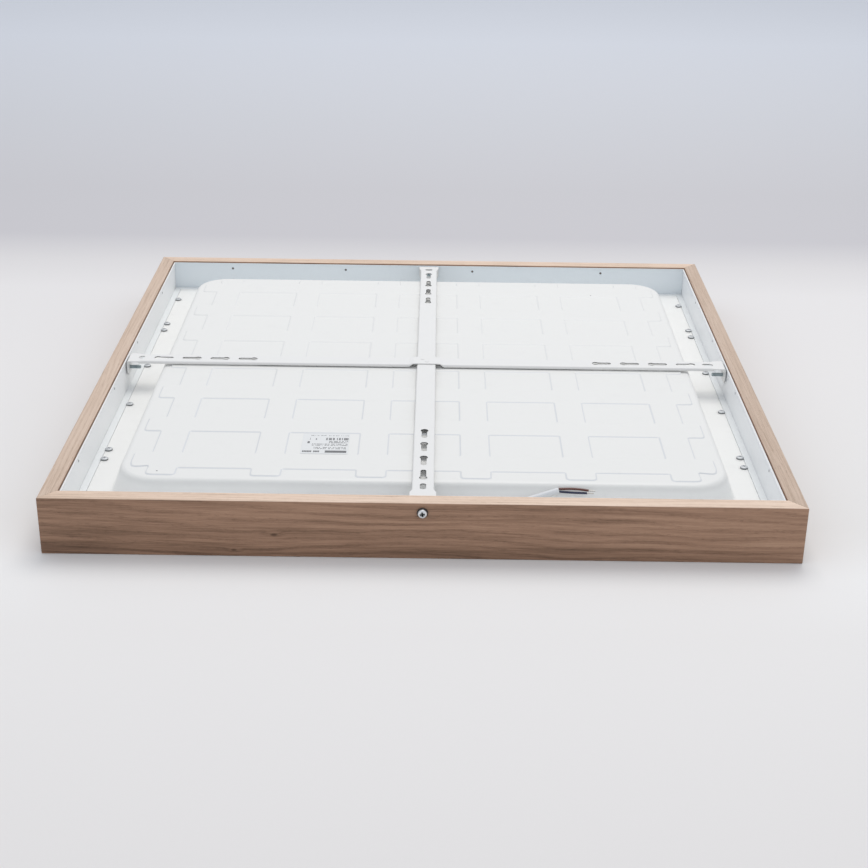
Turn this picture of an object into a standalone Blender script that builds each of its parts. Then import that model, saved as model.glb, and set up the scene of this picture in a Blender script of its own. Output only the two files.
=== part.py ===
"""A square LED panel light in an oak surface frame, with its ceiling cross.

The lamp lies on its light side, which is also the way it hangs: the diffuser
looks down and the ceiling cross is on top. Metres, +Z up. The origin is the
centre of the square on the surface that the oak frame stands on, the front is
at -Y, and the lamp's side screws lie on the X and Y axes.

"d" is a distance from the centre of the square, measured straight out
towards one side.
"""
import math

import bmesh
import bpy
import numpy as np
from mathutils import Matrix, Vector

MM = 0.001
COLLECTION = "led_panel_light"
CUTTERS = "cutters"
SIDES = (("front", 0), ("right", 90), ("back", 180), ("left", 270))
GAP = 0.3 * MM                        # between pieces that touch

# Oak frame.
WOOD_SIDE = 315.0 * MM                # d of the outer face
WOOD_THICKNESS = 14.5 * MM
WOOD_HEIGHT = 51.5 * MM
WOOD_EDGE = 0.5 * MM                  # eased edge
MITRE_GAP = 0.1 * MM

# Sheet steel surround inside the oak, holding the panel by its lower lip.
WALL_OUTER = WOOD_SIDE - WOOD_THICKNESS - GAP
WALL_THICKNESS = 0.8 * MM
WALL_TOP = 50.0 * MM
WALL_BOTTOM = 8.4 * MM
TOP_LIP = 1.8 * MM
BOTTOM_LIP = 12.2 * MM
PIN_HOLE_RADIUS = 0.8 * MM
PIN_HOLE_HEIGHT = 43.5 * MM
PIN_HOLES = {                         # places along each wall, left to right
    "front": (-205.0 * MM, -55.0 * MM, 90.0 * MM, 230.0 * MM),
    "right": (-229.0 * MM, -58.0 * MM, 82.0 * MM, 201.0 * MM),
    "back": (-202.0 * MM, -51.0 * MM, 98.0 * MM, 231.0 * MM),
    "left": (-210.0 * MM, -56.0 * MM, 67.0 * MM, 228.0 * MM),
}

# Aluminium rim of the panel, with a groove for the diffuser.
RIM_OUTER = 298.9 * MM
RIM_TOP = 19.4 * MM
RIM_BOTTOM = WALL_BOTTOM + WALL_THICKNESS + GAP
RIM_STEP = 292.8 * MM                 # the tray's flange lies inside this step
RIM_INNER = 283.5 * MM
DIFFUSER_THICKNESS = 2.0 * MM
DIFFUSER_SIDE = 293.7 * MM
LIP_THICKNESS = 1.1 * MM
GROOVE_BOTTOM = RIM_BOTTOM + LIP_THICKNESS
GROOVE_TOP = GROOVE_BOTTOM + DIFFUSER_THICKNESS + 2 * GAP

# Pressed steel back tray: flange, sloping riser, flat top with raised ribs.
TRAY_SHEET = 0.7 * MM
TRAY_FLANGE = 292.4 * MM
TRAY_PROFILE = (                      # d and height, from the flange inwards
    (283.5 * MM, RIM_TOP),
    (272.5 * MM, RIM_TOP),
    (271.0 * MM, 20.0 * MM),
    (269.6 * MM, 22.0 * MM),
    (262.9 * MM, 40.4 * MM),
    (261.8 * MM, 42.6 * MM),
    (259.8 * MM, 43.9 * MM),
    (257.2 * MM, 44.4 * MM),
)
TRAY_FLAT = TRAY_PROFILE[-1][1]
TRAY_CORNER = 229.8 * MM              # d of the centre of each round corner
TRAY_CORNER_STEP = 246.0 * MM
RIB_RAISE = 1.0 * MM
RIB_SLOPE = 1.2 * MM
RIB_WIDTH = 24.0 * MM                 # ribs along Y
RIB_PITCH = 90.0 * MM
RIBS = tuple((i - 2.5) * RIB_PITCH for i in range(6))
RIB_REACH = 256.0 * MM
CROSS_WIDTH = 28.0 * MM               # ribs along X
CROSS_PITCH = 75.5 * MM
CROSS_RIBS = tuple((i - 3) * CROSS_PITCH for i in range(7))
CROSS_REACH = 254.2 * MM

# Screws that hold the tray to the rim, down both sides.
TRAY_SCREW_D = 289.6 * MM
TRAY_SCREWS = (50.0 * MM, 154.1 * MM, 174.3 * MM, 254.2 * MM)
TRAY_SCREW_LENGTH = 5.2 * MM
TRAY_SCREW_RADIUS = 1.5 * MM
TRAY_HEAD_RADIUS = 3.5 * MM
TRAY_HEAD_HEIGHT = 1.9 * MM

# LED strips in the ribs, with a lens under each crossing.
STRIP_WIDTH = 12.0 * MM
STRIP_LENGTH = 490.0 * MM
STRIP_THICKNESS = 1.1 * MM
LENS_WIDE = 7.5 * MM
LENS_NARROW = 4.5 * MM
LENS_HEIGHT = 5.0 * MM

# Driver on the inside of the tray, near the front.
DRIVER_SIZE = (56.0 * MM, 118.0 * MM, 17.0 * MM)
DRIVER_Y = -184.0 * MM
DRIVER_WALL = 1.2 * MM
BOARD_SIZE = (50.0 * MM, 110.0 * MM, 1.6 * MM)
BOARD_DROP = 10.0 * MM
CAPACITOR_RADIUS = 5.0 * MM
CAPACITOR_HEIGHT = 7.0 * MM
CAPACITOR_PLACES = (-30.0 * MM, 28.0 * MM)

# Rating label, on a pad between two ribs.
LABEL_SIDE = 42.0 * MM
LABEL_THICKNESS = 0.15 * MM
LABEL_LIFT = 0.1 * MM
LABEL_CENTRE = (-88.0 * MM, -188.0 * MM)

# Supply lead: gland on the tray's front riser, sheath along the front gutter,
# two cores with bare tips leaning on the riser.
GLAND_X = -103.0 * MM
GLAND_HEIGHT = 27.0 * MM
GLAND_HOLE = 3.5 * MM
GLAND_LENGTH = 6.0 * MM
SHEATH_RADIUS = 2.5 * MM
SHEATH_STEP = 11.0 * MM
CORE_RADIUS = 0.95 * MM
TIP_RADIUS = 0.5 * MM
TIP_LENGTH = 5.5 * MM
FLOOR_CENTRE = RIM_TOP + GAP + SHEATH_RADIUS
SHEATH_END = (114.5 * MM, -265.8 * MM, 40.2 * MM)
SHEATH_ROUTE = (                      # after the gland, up to SHEATH_END
    (-102.3 * MM, -279.0 * MM, 31.1 * MM),
    (-100.3 * MM, -283.6 * MM, 32.8 * MM),
    (-97.0 * MM, -287.6 * MM, 34.2 * MM),
    (-92.7 * MM, -290.6 * MM, 35.1 * MM),
    (-87.6 * MM, -292.5 * MM, 35.6 * MM),
    (-82.2 * MM, -293.2 * MM, 35.5 * MM),
    (-71.0 * MM, -292.8 * MM, 34.0 * MM),
    (-59.0 * MM, -291.6 * MM, 31.2 * MM),
    (-47.0 * MM, -290.3 * MM, 28.0 * MM),
    (-35.0 * MM, -289.0 * MM, 25.2 * MM),
    (-22.0 * MM, -287.5 * MM, 23.1 * MM),
    (-8.0 * MM, -286.2 * MM, FLOOR_CENTRE),
    (14.0 * MM, -284.6 * MM, FLOOR_CENTRE),
    (36.0 * MM, -282.4 * MM, 23.0 * MM),
    (62.0 * MM, -277.4 * MM, 26.8 * MM),
    (88.0 * MM, -270.9 * MM, 33.4 * MM),
)
CORE_ROUTES = {
    "brown": (
        (115.6 * MM, -264.9 * MM, 41.5 * MM),
        (128.0 * MM, -265.2 * MM, 41.5 * MM),
        (140.0 * MM, -266.6 * MM, 40.9 * MM),
    ),
    "blue": (
        (115.6 * MM, -266.3 * MM, 39.3 * MM),
        (127.0 * MM, -268.0 * MM, 39.4 * MM),
        (138.5 * MM, -269.6 * MM, 39.9 * MM),
    ),
}

# Ceiling cross: two channel bars with keyhole slots and folded end tabs.
BAR_TOP = 49.5 * MM
BAR_SHEET = 1.0 * MM
BAR_FLAT = 7.85 * MM                  # half width of the flat top
BAR_HALF = 9.25 * MM
BAR_DEPTH = 3.0 * MM
BAR_ROUND = 1.2 * MM
TAB_HALF = 11.2 * MM
TAB_DROP = 16.0 * MM
TAB_BEND = 1.6 * MM
BAR_END = 298.1 * MM                  # d of the tab's outer face
TAB_CORNER = 6.0 * MM
FLARE_START = 284.0 * MM
FLARE_END = 290.5 * MM
CROSSING_HALF = 12.0 * MM
CROSSING_RAMP = 18.0 * MM
CROSSING_RISE = BAR_SHEET + GAP
CROSSING_FLANGE = 0.2                 # share of the flange left at the crossing
SLOT_FIRST = 176.8 * MM
SLOT_PITCH = 28.0 * MM
SLOT_LENGTH = 19.0 * MM
SLOT_HALF = 2.5 * MM
SLOT_HEAD = 3.5 * MM
SLOTS = 4
END_SLOT_D = 283.0 * MM
END_SLOT_RADIUS = 2.7 * MM
END_SLOT_LONG = 10.8 * MM             # lengthwise, at one end
END_SLOT_ACROSS = 8.6 * MM            # crosswise, at the other
HOLE_SHIFTS = {"cross_bar_x": -1.7 * MM, "cross_bar_y": 3.0 * MM}
RIVET_PLACES = ((-4.0 * MM, 2.5 * MM), (0.5 * MM, -4.0 * MM))
RIVET_RADIUS = 1.0 * MM
RIVET_HEAD = 1.9 * MM
RIVET_HEAD_HEIGHT = 0.4 * MM
RIVET_LIFT = 0.15 * MM

# Side screws, M4, through the oak and the wall into the end tabs.
SCREW_HEIGHTS = {"front": 42.8 * MM, "right": 39.3 * MM, "back": 42.8 * MM, "left": 39.3 * MM}
SCREW_RADIUS = 2.0 * MM
SCREW_CLEARANCE = 2.35 * MM
SCREW_TIP = 286.2 * MM
WASHER_RADIUS = 4.65 * MM
WASHER_THICKNESS = 1.0 * MM
HEAD_RADIUS = 3.9 * MM
HEAD_HEIGHT = 2.3 * MM
CROSS_SLOT = 0.55 * MM                # half width of the head's cross recess

MATERIALS = {                         # colour, roughness, metallic
    "oak": ((0.52, 0.36, 0.24), 0.6, 0.0),
    "white_steel": ((0.86, 0.88, 0.9), 0.4, 0.0),
    "white_rim": ((0.84, 0.86, 0.88), 0.35, 0.0),
    "zinc": ((0.62, 0.63, 0.64), 0.3, 1.0),
    "black_plastic": ((0.03, 0.03, 0.03), 0.5, 0.0),
    "opal": ((0.93, 0.94, 0.95), 0.35, 0.0),
    "board": ((0.85, 0.86, 0.85), 0.5, 0.0),
    "green_board": ((0.06, 0.3, 0.14), 0.5, 0.0),
    "dark_can": ((0.08, 0.09, 0.14), 0.3, 0.0),
    "label": ((0.85, 0.85, 0.84), 0.5, 0.0),
    "sheath": ((0.88, 0.88, 0.88), 0.45, 0.0),
    "brown_core": ((0.2, 0.06, 0.03), 0.4, 0.0),
    "blue_core": ((0.02, 0.04, 0.12), 0.4, 0.0),
    "tinned": ((0.6, 0.6, 0.6), 0.3, 1.0),
}


# ---------------------------------------------------------------- helpers

def clear_scene():
    """Empty the scene and make the two collections."""
    for obj in list(bpy.data.objects):
        bpy.data.objects.remove(obj)
    for name in (COLLECTION, CUTTERS):
        bpy.context.scene.collection.children.link(bpy.data.collections.new(name))


def material(kind, owner):
    """A Principled material of one kind, for one object."""
    colour, roughness, metallic = MATERIALS[kind]
    made = bpy.data.materials.new(owner)
    made.use_nodes = True
    made.diffuse_color = (*colour, 1.0)
    shader = made.node_tree.nodes["Principled BSDF"]
    shader.inputs["Base Color"].default_value = (*colour, 1.0)
    shader.inputs["Roughness"].default_value = roughness
    shader.inputs["Metallic"].default_value = metallic
    return made


def add_object(name, bm, kind, collection=COLLECTION):
    """Turn a bmesh into a named object. An open sheet already faces up."""
    if any(edge.is_boundary for edge in bm.edges):
        bmesh.ops.triangulate(bm, faces=bm.faces)
    else:
        bmesh.ops.recalc_face_normals(bm, faces=bm.faces)
    mesh = bpy.data.meshes.new(name)
    bm.to_mesh(mesh)
    bm.free()
    obj = bpy.data.objects.new(name, mesh)
    bpy.data.collections[collection].objects.link(obj)
    if kind:
        mesh.materials.append(material(kind, name))
    return obj


def smooth(obj, angle=35.0):
    """Shade round faces smooth and keep sharper edges."""
    obj.data.shade_smooth()
    obj.data.set_sharp_from_angle(angle=math.radians(angle))


def solidify(obj, thickness):
    """Give an open surface its sheet thickness, on its inner side."""
    shell = obj.modifiers.new("sheet", "SOLIDIFY")
    shell.thickness = thickness
    shell.offset = -1.0
    shell.use_even_offset = True


def cut(obj, cutter, operation="DIFFERENCE"):
    """Subtract a cutter, or join it. It stays in its own collection."""
    cutter.hide_render = True
    cutter.display_type = "WIRE"
    step = obj.modifiers.new("cut", "BOOLEAN")
    step.operation = operation
    step.solver = "EXACT"
    step.object = cutter


def turn_to_side(obj, degrees):
    """Turn a piece made for the front round to another side."""
    obj.rotation_euler = (0.0, 0.0, math.radians(degrees))


def prism(bm, outline, low, high, place=Matrix()):
    """Extrude a closed outline in XY from low to high."""
    corners = [bm.verts.new(place @ Vector((x, y, low))) for x, y in outline]
    face = bm.faces.new(corners)
    grown = bmesh.ops.extrude_face_region(bm, geom=[face])
    lift = place.to_3x3() @ Vector((0.0, 0.0, high - low))
    tops = [item for item in grown["geom"] if isinstance(item, bmesh.types.BMVert)]
    bmesh.ops.translate(bm, verts=tops, vec=lift)


def box(bm, size, centre):
    """A box from its size and centre."""
    bmesh.ops.create_cube(bm, size=1.0, matrix=Matrix.Translation(centre) @ Matrix.Diagonal((*size, 1.0)))


def rod(bm, radius, low, high, place=Matrix(), sides=10):
    """A cylinder along the place's own Z, from low to high."""
    centre = Matrix.Translation((0.0, 0.0, (low + high) / 2))
    bmesh.ops.create_cone(
        bm, cap_ends=True, segments=sides, radius1=radius, radius2=radius,
        depth=high - low, matrix=place @ centre)


def lathe(bm, profile, place=Matrix(), sides=12):
    """Turn a profile of (radius, height) that starts and ends on the axis."""
    points = [bm.verts.new((radius, 0.0, height)) for radius, height in profile]
    edges = [bm.edges.new(pair) for pair in zip(points, points[1:])]
    start = set(bm.verts) - set(points)
    bmesh.ops.spin(
        bm, geom=points + edges, cent=(0, 0, 0), axis=(0, 0, 1), dvec=(0, 0, 0),
        angle=2 * math.pi, steps=sides, use_merge=True)
    made = [vert for vert in bm.verts if vert not in start]
    bmesh.ops.remove_doubles(bm, verts=made, dist=1e-6)
    made = [vert for vert in bm.verts if vert not in start]
    bmesh.ops.transform(bm, matrix=place, verts=made)


def arc(centre, radius, start, end, steps):
    """Points round part of a circle, angles in degrees."""
    turns = [math.radians(start + (end - start) * i / steps) for i in range(steps + 1)]
    return [(centre[0] + radius * math.cos(t), centre[1] + radius * math.sin(t)) for t in turns]


def side_axis(height):
    """Front screw axis: the place's Z points out of the front face."""
    return Matrix.Translation((0.0, 0.0, height)) @ Matrix.Rotation(math.radians(90), 4, "X")


def mitred_rail(name, profile, kind, degrees):
    """Extrude a (d, height) profile along one side, with mitred ends."""
    bm = bmesh.new()
    face = bm.faces.new([bm.verts.new((0.0, -d, z)) for d, z in profile])
    grown = bmesh.ops.extrude_face_region(bm, geom=[face])
    far = {item for item in grown["geom"] if isinstance(item, bmesh.types.BMVert)}
    for vert in bm.verts:
        reach = -vert.co.y - MITRE_GAP
        vert.co.x = reach if vert in far else -reach
    obj = add_object(name, bm, kind)
    turn_to_side(obj, degrees)
    return obj


# ---------------------------------------------------------------- oak frame

def oak_rail(side, degrees):
    """One oak rail, with its screw hole."""
    inner = WOOD_SIDE - WOOD_THICKNESS
    e = WOOD_EDGE
    profile = (
        (WOOD_SIDE, e), (WOOD_SIDE, WOOD_HEIGHT - e), (WOOD_SIDE - e, WOOD_HEIGHT),
        (inner + e, WOOD_HEIGHT), (inner, WOOD_HEIGHT - e), (inner, e),
        (inner + e, 0.0), (WOOD_SIDE - e, 0.0))
    rail = mitred_rail(f"wood_rail_{side}", profile, "oak", degrees)
    bm = bmesh.new()
    rod(bm, SCREW_CLEARANCE, inner - MM, WOOD_SIDE + MM, side_axis(SCREW_HEIGHTS[side]))
    drill = add_object(f"cut_wood_{side}", bm, None, CUTTERS)
    turn_to_side(drill, degrees)
    cut(rail, drill)


# ---------------------------------------------------------------- surround

def surround_wall(side, degrees):
    """One wall of the steel surround: top lip, wall, bottom lip."""
    inner = WALL_OUTER - WALL_THICKNESS
    profile = (
        (WALL_OUTER, WALL_BOTTOM), (WALL_OUTER, WALL_TOP),
        (WALL_OUTER - TOP_LIP, WALL_TOP), (WALL_OUTER - TOP_LIP, WALL_TOP - WALL_THICKNESS),
        (inner, WALL_TOP - WALL_THICKNESS), (inner, WALL_BOTTOM + WALL_THICKNESS),
        (WALL_OUTER - BOTTOM_LIP, WALL_BOTTOM + WALL_THICKNESS),
        (WALL_OUTER - BOTTOM_LIP, WALL_BOTTOM))
    wall = mitred_rail(f"surround_wall_{side}", profile, "white_steel", degrees)
    bm = bmesh.new()
    rod(bm, SCREW_CLEARANCE, inner - MM, WALL_OUTER + MM, side_axis(SCREW_HEIGHTS[side]))
    for along in PIN_HOLES[side]:
        place = Matrix.Translation((along, 0.0, 0.0)) @ side_axis(PIN_HOLE_HEIGHT)
        rod(bm, PIN_HOLE_RADIUS, inner - MM, WALL_OUTER + MM, place, sides=8)
    drill = add_object(f"cut_wall_{side}", bm, None, CUTTERS)
    turn_to_side(drill, degrees)
    cut(wall, drill)


# ---------------------------------------------------------------- LED panel

def tray_screw_places(sign):
    """World places of the tray screws on the left (-1) or right (+1)."""
    rows = [end * y for y in TRAY_SCREWS for end in (-1, 1)]
    return [Vector((sign * TRAY_SCREW_D, y, 0.0)) for y in rows]


def panel_rim(side, degrees):
    """One length of the aluminium rim, with a groove for the diffuser."""
    profile = (
        (RIM_OUTER, RIM_BOTTOM), (RIM_OUTER, RIM_TOP), (RIM_STEP, RIM_TOP),
        (RIM_STEP, RIM_TOP - TRAY_SHEET - GAP), (RIM_INNER, RIM_TOP - TRAY_SHEET - GAP),
        (RIM_INNER, GROOVE_TOP), (DIFFUSER_SIDE + GAP, GROOVE_TOP),
        (DIFFUSER_SIDE + GAP, GROOVE_BOTTOM), (RIM_INNER, GROOVE_BOTTOM),
        (RIM_INNER, RIM_BOTTOM))
    rim = mitred_rail(f"panel_rim_{side}", profile, "white_rim", degrees)
    if side in ("left", "right"):
        bm = bmesh.new()
        bottom = RIM_TOP + GAP - TRAY_SCREW_LENGTH - GAP
        for place in tray_screw_places(-1 if side == "left" else 1):
            rod(bm, TRAY_SCREW_RADIUS + GAP, bottom, RIM_TOP + MM, Matrix.Translation(place), 8)
        cut(rim, add_object(f"cut_rim_{side}", bm, None, CUTTERS))


def both_signs(values):
    """The values and their negatives, sorted, without repeats."""
    rounded = {round(sign * value, 7) for value in values for sign in (-1, 1)}
    return sorted(rounded)


def rib_edges(centres, width):
    """The foot and the top of both slopes of each rib."""
    half = width / 2
    return [c + off for c in centres for off in (-half - RIB_SLOPE, -half, half, half + RIB_SLOPE)]


def rise(value, centres, width):
    """How far up the slopes of a set of ribs a place is, from 0 to 1."""
    nearest = min(abs(value - c) for c in centres)
    return min(1.0, max(0.0, (width / 2 + RIB_SLOPE - nearest) / RIB_SLOPE))


def reach(value, limit):
    """1 inside the ribs' ends and 0 past their end slope."""
    return min(1.0, max(0.0, (limit - abs(value)) / RIB_SLOPE))


def tray_height(x, y):
    """Height of the tray's sheet over a place in its flat plan."""
    d = max(abs(x), abs(y))
    if d > TRAY_PROFILE[-1][0]:
        inward = TRAY_PROFILE[::-1]
        return float(np.interp(d, [p[0] for p in inward], [p[1] for p in inward]))
    lengthwise = min(rise(x, RIBS, RIB_WIDTH), reach(y, RIB_REACH))
    across = min(rise(y, CROSS_RIBS, CROSS_WIDTH), reach(x, CROSS_REACH))
    return TRAY_FLAT + RIB_RAISE * max(lengthwise, across)


def round_corner(x, y):
    """Bend the square rings of the plan round the tray's corners."""
    if max(abs(x), abs(y)) > TRAY_PROFILE[1][0] + GAP:
        return x, y
    over = Vector((abs(x) - TRAY_CORNER, abs(y) - TRAY_CORNER))
    if min(over) <= 0.0:
        return x, y
    over *= max(over) / over.length
    return (
        math.copysign(TRAY_CORNER + over.x, x),
        math.copysign(TRAY_CORNER + over.y, y))


def gland_place():
    """The gland's place on the front riser: its Z is the riser's normal."""
    foot, top = TRAY_PROFILE[3], TRAY_PROFILE[4]
    share = (GLAND_HEIGHT - foot[1]) / (top[1] - foot[1])
    d = foot[0] + share * (top[0] - foot[0])
    lean = math.atan2(foot[0] - top[0], top[1] - foot[1])
    tilt = Matrix.Rotation(math.radians(90) - lean, 4, "X")
    return Matrix.Translation((GLAND_X, -d, GLAND_HEIGHT)) @ tilt


def back_tray():
    """The pressed back: a sheet whose grid lines are its creases."""
    rings = [d for d, _ in TRAY_PROFILE] + [TRAY_FLANGE, TRAY_CORNER, TRAY_CORNER_STEP]
    xs = both_signs(rings + [CROSS_REACH, CROSS_REACH - RIB_SLOPE] + rib_edges(RIBS, RIB_WIDTH))
    ys = both_signs(
        rings + [RIB_REACH, RIB_REACH - RIB_SLOPE] + rib_edges(CROSS_RIBS, CROSS_WIDTH))
    bm = bmesh.new()
    bmesh.ops.create_grid(bm, x_segments=len(xs) - 1, y_segments=len(ys) - 1, size=1.0)
    for vert in bm.verts:
        x = xs[round((vert.co.x + 1) / 2 * (len(xs) - 1))]
        y = ys[round((vert.co.y + 1) / 2 * (len(ys) - 1))]
        vert.co = (*round_corner(x, y), tray_height(x, y))
    outer = [vert for vert in bm.verts if vert.co.z < TRAY_FLAT]
    spans = [edge for edge in bm.edges if min(v.co.z for v in edge.verts) < TRAY_FLAT - MM]
    bmesh.ops.dissolve_limit(bm, angle_limit=math.radians(0.05), verts=outer, edges=spans)
    tray = add_object("back_tray", bm, "white_steel")
    smooth(tray, 28.0)
    solidify(tray, TRAY_SHEET)
    bm = bmesh.new()
    for place in tray_screw_places(-1) + tray_screw_places(1):
        low, high = RIM_TOP - TRAY_SHEET - MM, RIM_TOP + MM
        rod(bm, TRAY_SCREW_RADIUS + GAP, low, high, Matrix.Translation(place), 8)
    rod(bm, GLAND_HOLE, -3 * MM, 3 * MM, gland_place(), 12)
    cut(tray, add_object("cut_tray", bm, None, CUTTERS))


def cross_recess(bm, place, top, half_length, half_width, depth):
    """Two crossed bars that cut a screw head's cross recess."""
    w, l = half_width, half_length
    outline = (
        (w, w), (w, l), (-w, l), (-w, w), (-l, w), (-l, -w),
        (-w, -w), (-w, -l), (w, -l), (w, -w), (l, -w), (l, w))
    prism(bm, outline, top - depth, top + MM, place)


def tray_screws(side, sign):
    """The pan head screws down one side of the tray."""
    base = RIM_TOP + GAP
    top = base + TRAY_HEAD_HEIGHT
    profile = (
        (0.0, base - TRAY_SCREW_LENGTH), (TRAY_SCREW_RADIUS, base - TRAY_SCREW_LENGTH),
        (TRAY_SCREW_RADIUS, base), (TRAY_HEAD_RADIUS, base),
        (TRAY_HEAD_RADIUS, base + 0.7 * MM), (TRAY_HEAD_RADIUS - 0.9 * MM, top - 0.3 * MM),
        (TRAY_HEAD_RADIUS - 2.0 * MM, top), (0.0, top))
    for number, spot in enumerate(tray_screw_places(sign), start=1):
        place = Matrix.Translation(spot) @ Matrix.Rotation(0.7 * number, 4, "Z")
        bm = bmesh.new()
        lathe(bm, profile, place)
        screw = add_object(f"tray_screw_{side}_{number}", bm, "zinc")
        smooth(screw)
        bm = bmesh.new()
        cross_recess(bm, place, top, 1.5 * MM, 0.4 * MM, 0.9 * MM)
        cut(screw, add_object(f"cut_tray_screw_{side}_{number}", bm, None, CUTTERS))


def diffuser():
    """The opal plate in the rim's groove."""
    bm = bmesh.new()
    side = 2 * DIFFUSER_SIDE
    middle = GROOVE_BOTTOM + GAP + DIFFUSER_THICKNESS / 2
    box(bm, (side, side, DIFFUSER_THICKNESS), (0.0, 0.0, middle))
    add_object("diffuser", bm, "opal")


def led_strip(number, x):
    """One strip of LEDs in a rib, joined to the row of lenses under it."""
    top = TRAY_FLAT + RIB_RAISE - TRAY_SHEET - GAP
    bottom = top - STRIP_THICKNESS
    bm = bmesh.new()
    box(bm, (STRIP_WIDTH, STRIP_LENGTH, STRIP_THICKNESS), (x, 0.0, (top + bottom) / 2))
    strip = add_object(f"led_strip_{number}", bm, "board")
    bm = bmesh.new()
    for y in CROSS_RIBS:
        centre = Vector((x, y, bottom + GAP - LENS_HEIGHT / 2))
        bmesh.ops.create_cone(
            bm, cap_ends=True, segments=10, radius1=LENS_NARROW, radius2=LENS_WIDE,
            depth=LENS_HEIGHT, matrix=Matrix.Translation(centre))
    cut(strip, add_object(f"join_lenses_{number}", bm, None, CUTTERS), "UNION")


def driver():
    """The driver: an open case against the tray, a board and two cans."""
    top = TRAY_FLAT - TRAY_SHEET - GAP
    bm = bmesh.new()
    box(bm, DRIVER_SIZE, (0.0, DRIVER_Y, top - DRIVER_SIZE[2] / 2))
    roof = [face for face in bm.faces if face.calc_center_median().z > top - MM]
    bmesh.ops.delete(bm, geom=roof, context="FACES")
    case = add_object("driver_case", bm, "white_steel")
    solidify(case, DRIVER_WALL)
    under = top - BOARD_DROP
    bm = bmesh.new()
    box(bm, BOARD_SIZE, (0.0, DRIVER_Y, under + BOARD_SIZE[2] / 2))
    add_object("driver_board", bm, "green_board")
    foot = under + BOARD_SIZE[2] + GAP
    for number, along in enumerate(CAPACITOR_PLACES, start=1):
        bm = bmesh.new()
        place = Matrix.Translation((0.0, DRIVER_Y + along, 0.0))
        rod(bm, CAPACITOR_RADIUS, foot, foot + CAPACITOR_HEIGHT, place, 14)
        smooth(add_object(f"driver_capacitor_{number}", bm, "dark_can"))


def rating_label():
    """The label's plain sheet."""
    bm = bmesh.new()
    low = TRAY_FLAT + LABEL_LIFT
    box(bm, (LABEL_SIDE, LABEL_SIDE, LABEL_THICKNESS), (*LABEL_CENTRE, low + LABEL_THICKNESS / 2))
    add_object("rating_label", bm, "label")


# ---------------------------------------------------------------- lead

def smooth_route(points, step):
    """Points about a step apart on a smooth curve through the given ones."""
    pts = [Vector(p) for p in points]
    pts = [2 * pts[0] - pts[1]] + pts + [2 * pts[-1] - pts[-2]]
    route = []
    for before, a, b, after in zip(pts, pts[1:], pts[2:], pts[3:]):
        count = max(1, round((b - a).length / step))
        for i in range(count):
            t = i / count
            route.append(0.5 * (
                2 * a + (b - before) * t + (2 * before - 5 * a + 4 * b - after) * t ** 2
                + (3 * a - before - 3 * b + after) * t ** 3))
    return route + [pts[-2]]


def tube(name, points, radius, kind, resolution=2):
    """A round wire along a list of points, with filled caps."""
    curve = bpy.data.curves.new(name, "CURVE")
    curve.dimensions = "3D"
    curve.bevel_depth = radius
    curve.bevel_resolution = resolution
    curve.use_fill_caps = True
    curve.render_resolution_u = 0
    spline = curve.splines.new("POLY")
    spline.points.add(len(points) - 1)
    for point, place in zip(spline.points, points):
        point.co = (*place, 1.0)
    curve.materials.append(material(kind, name))
    obj = bpy.data.objects.new(name, curve)
    bpy.data.collections[COLLECTION].objects.link(obj)
    return obj


def cable_gland():
    """The strain relief in the tray's front riser."""
    profile = (
        (0.0, -2.2 * MM), (4.2 * MM, -2.2 * MM), (4.2 * MM, -1.1 * MM),
        (GLAND_HOLE - GAP, -1.1 * MM), (GLAND_HOLE - GAP, GAP), (4.9 * MM, GAP),
        (4.9 * MM, 1.8 * MM), (3.5 * MM, GLAND_LENGTH), (0.0, GLAND_LENGTH))
    bm = bmesh.new()
    lathe(bm, profile, gland_place(), 14)
    smooth(add_object("cable_gland", bm, "sheath"))


def supply_lead():
    """Sheath, two cores and their bare tips."""
    exit_point = gland_place() @ Vector((0.0, 0.0, GLAND_LENGTH + 2 * GAP))
    route = (exit_point, *SHEATH_ROUTE, SHEATH_END)
    tube("lead_sheath", smooth_route(route, SHEATH_STEP), SHEATH_RADIUS, "sheath")
    for colour, points in CORE_ROUTES.items():
        tube(f"lead_core_{colour}", smooth_route(points, 4 * MM), CORE_RADIUS, f"{colour}_core")
        end = Vector(points[-1])
        along = (end - Vector(points[-2])).normalized()
        place = Matrix.Translation(end) @ along.to_track_quat("Z", "Y").to_matrix().to_4x4()
        bm = bmesh.new()
        rod(bm, TIP_RADIUS, GAP, TIP_LENGTH, place, 8)
        add_object(f"lead_tip_{colour}", bm, "tinned")


# ---------------------------------------------------------------- cross bars

def bar_stations(over):
    """Rows along one arm: (distance, height, flare, flange share)."""
    rise_up = CROSSING_RISE if over else 0.0
    middle = CROSSING_FLANGE if over else 1.0
    bend = BAR_END - TAB_BEND
    rows = [
        (0.0, rise_up, 0.0, middle),
        (CROSSING_HALF, rise_up, 0.0, middle),
        (CROSSING_RAMP, 0.0, 0.0, 1.0),
        (FLARE_START, 0.0, 0.0, 1.0),
        ((FLARE_START + FLARE_END) / 2, 0.0, 0.6, 0.45),
        (FLARE_END, 0.0, 1.0, 0.0),
    ]
    for along, height in arc((bend, -TAB_BEND), TAB_BEND, 90, 0, 3):
        rows.append((along, height, 1.0, 0.0))
    rows.append((BAR_END, -TAB_DROP, 1.0, 0.0))
    return rows


def bar_section(flare, flange):
    """Half widths and drops across a bar, from the flange's edge inwards."""
    half = BAR_HALF + flare * (TAB_HALF - BAR_HALF)
    return (
        (half, BAR_DEPTH * flange),
        (half - 0.4 * MM * (1 - flange), BAR_ROUND * flange),
        (BAR_FLAT, 0.0))


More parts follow.
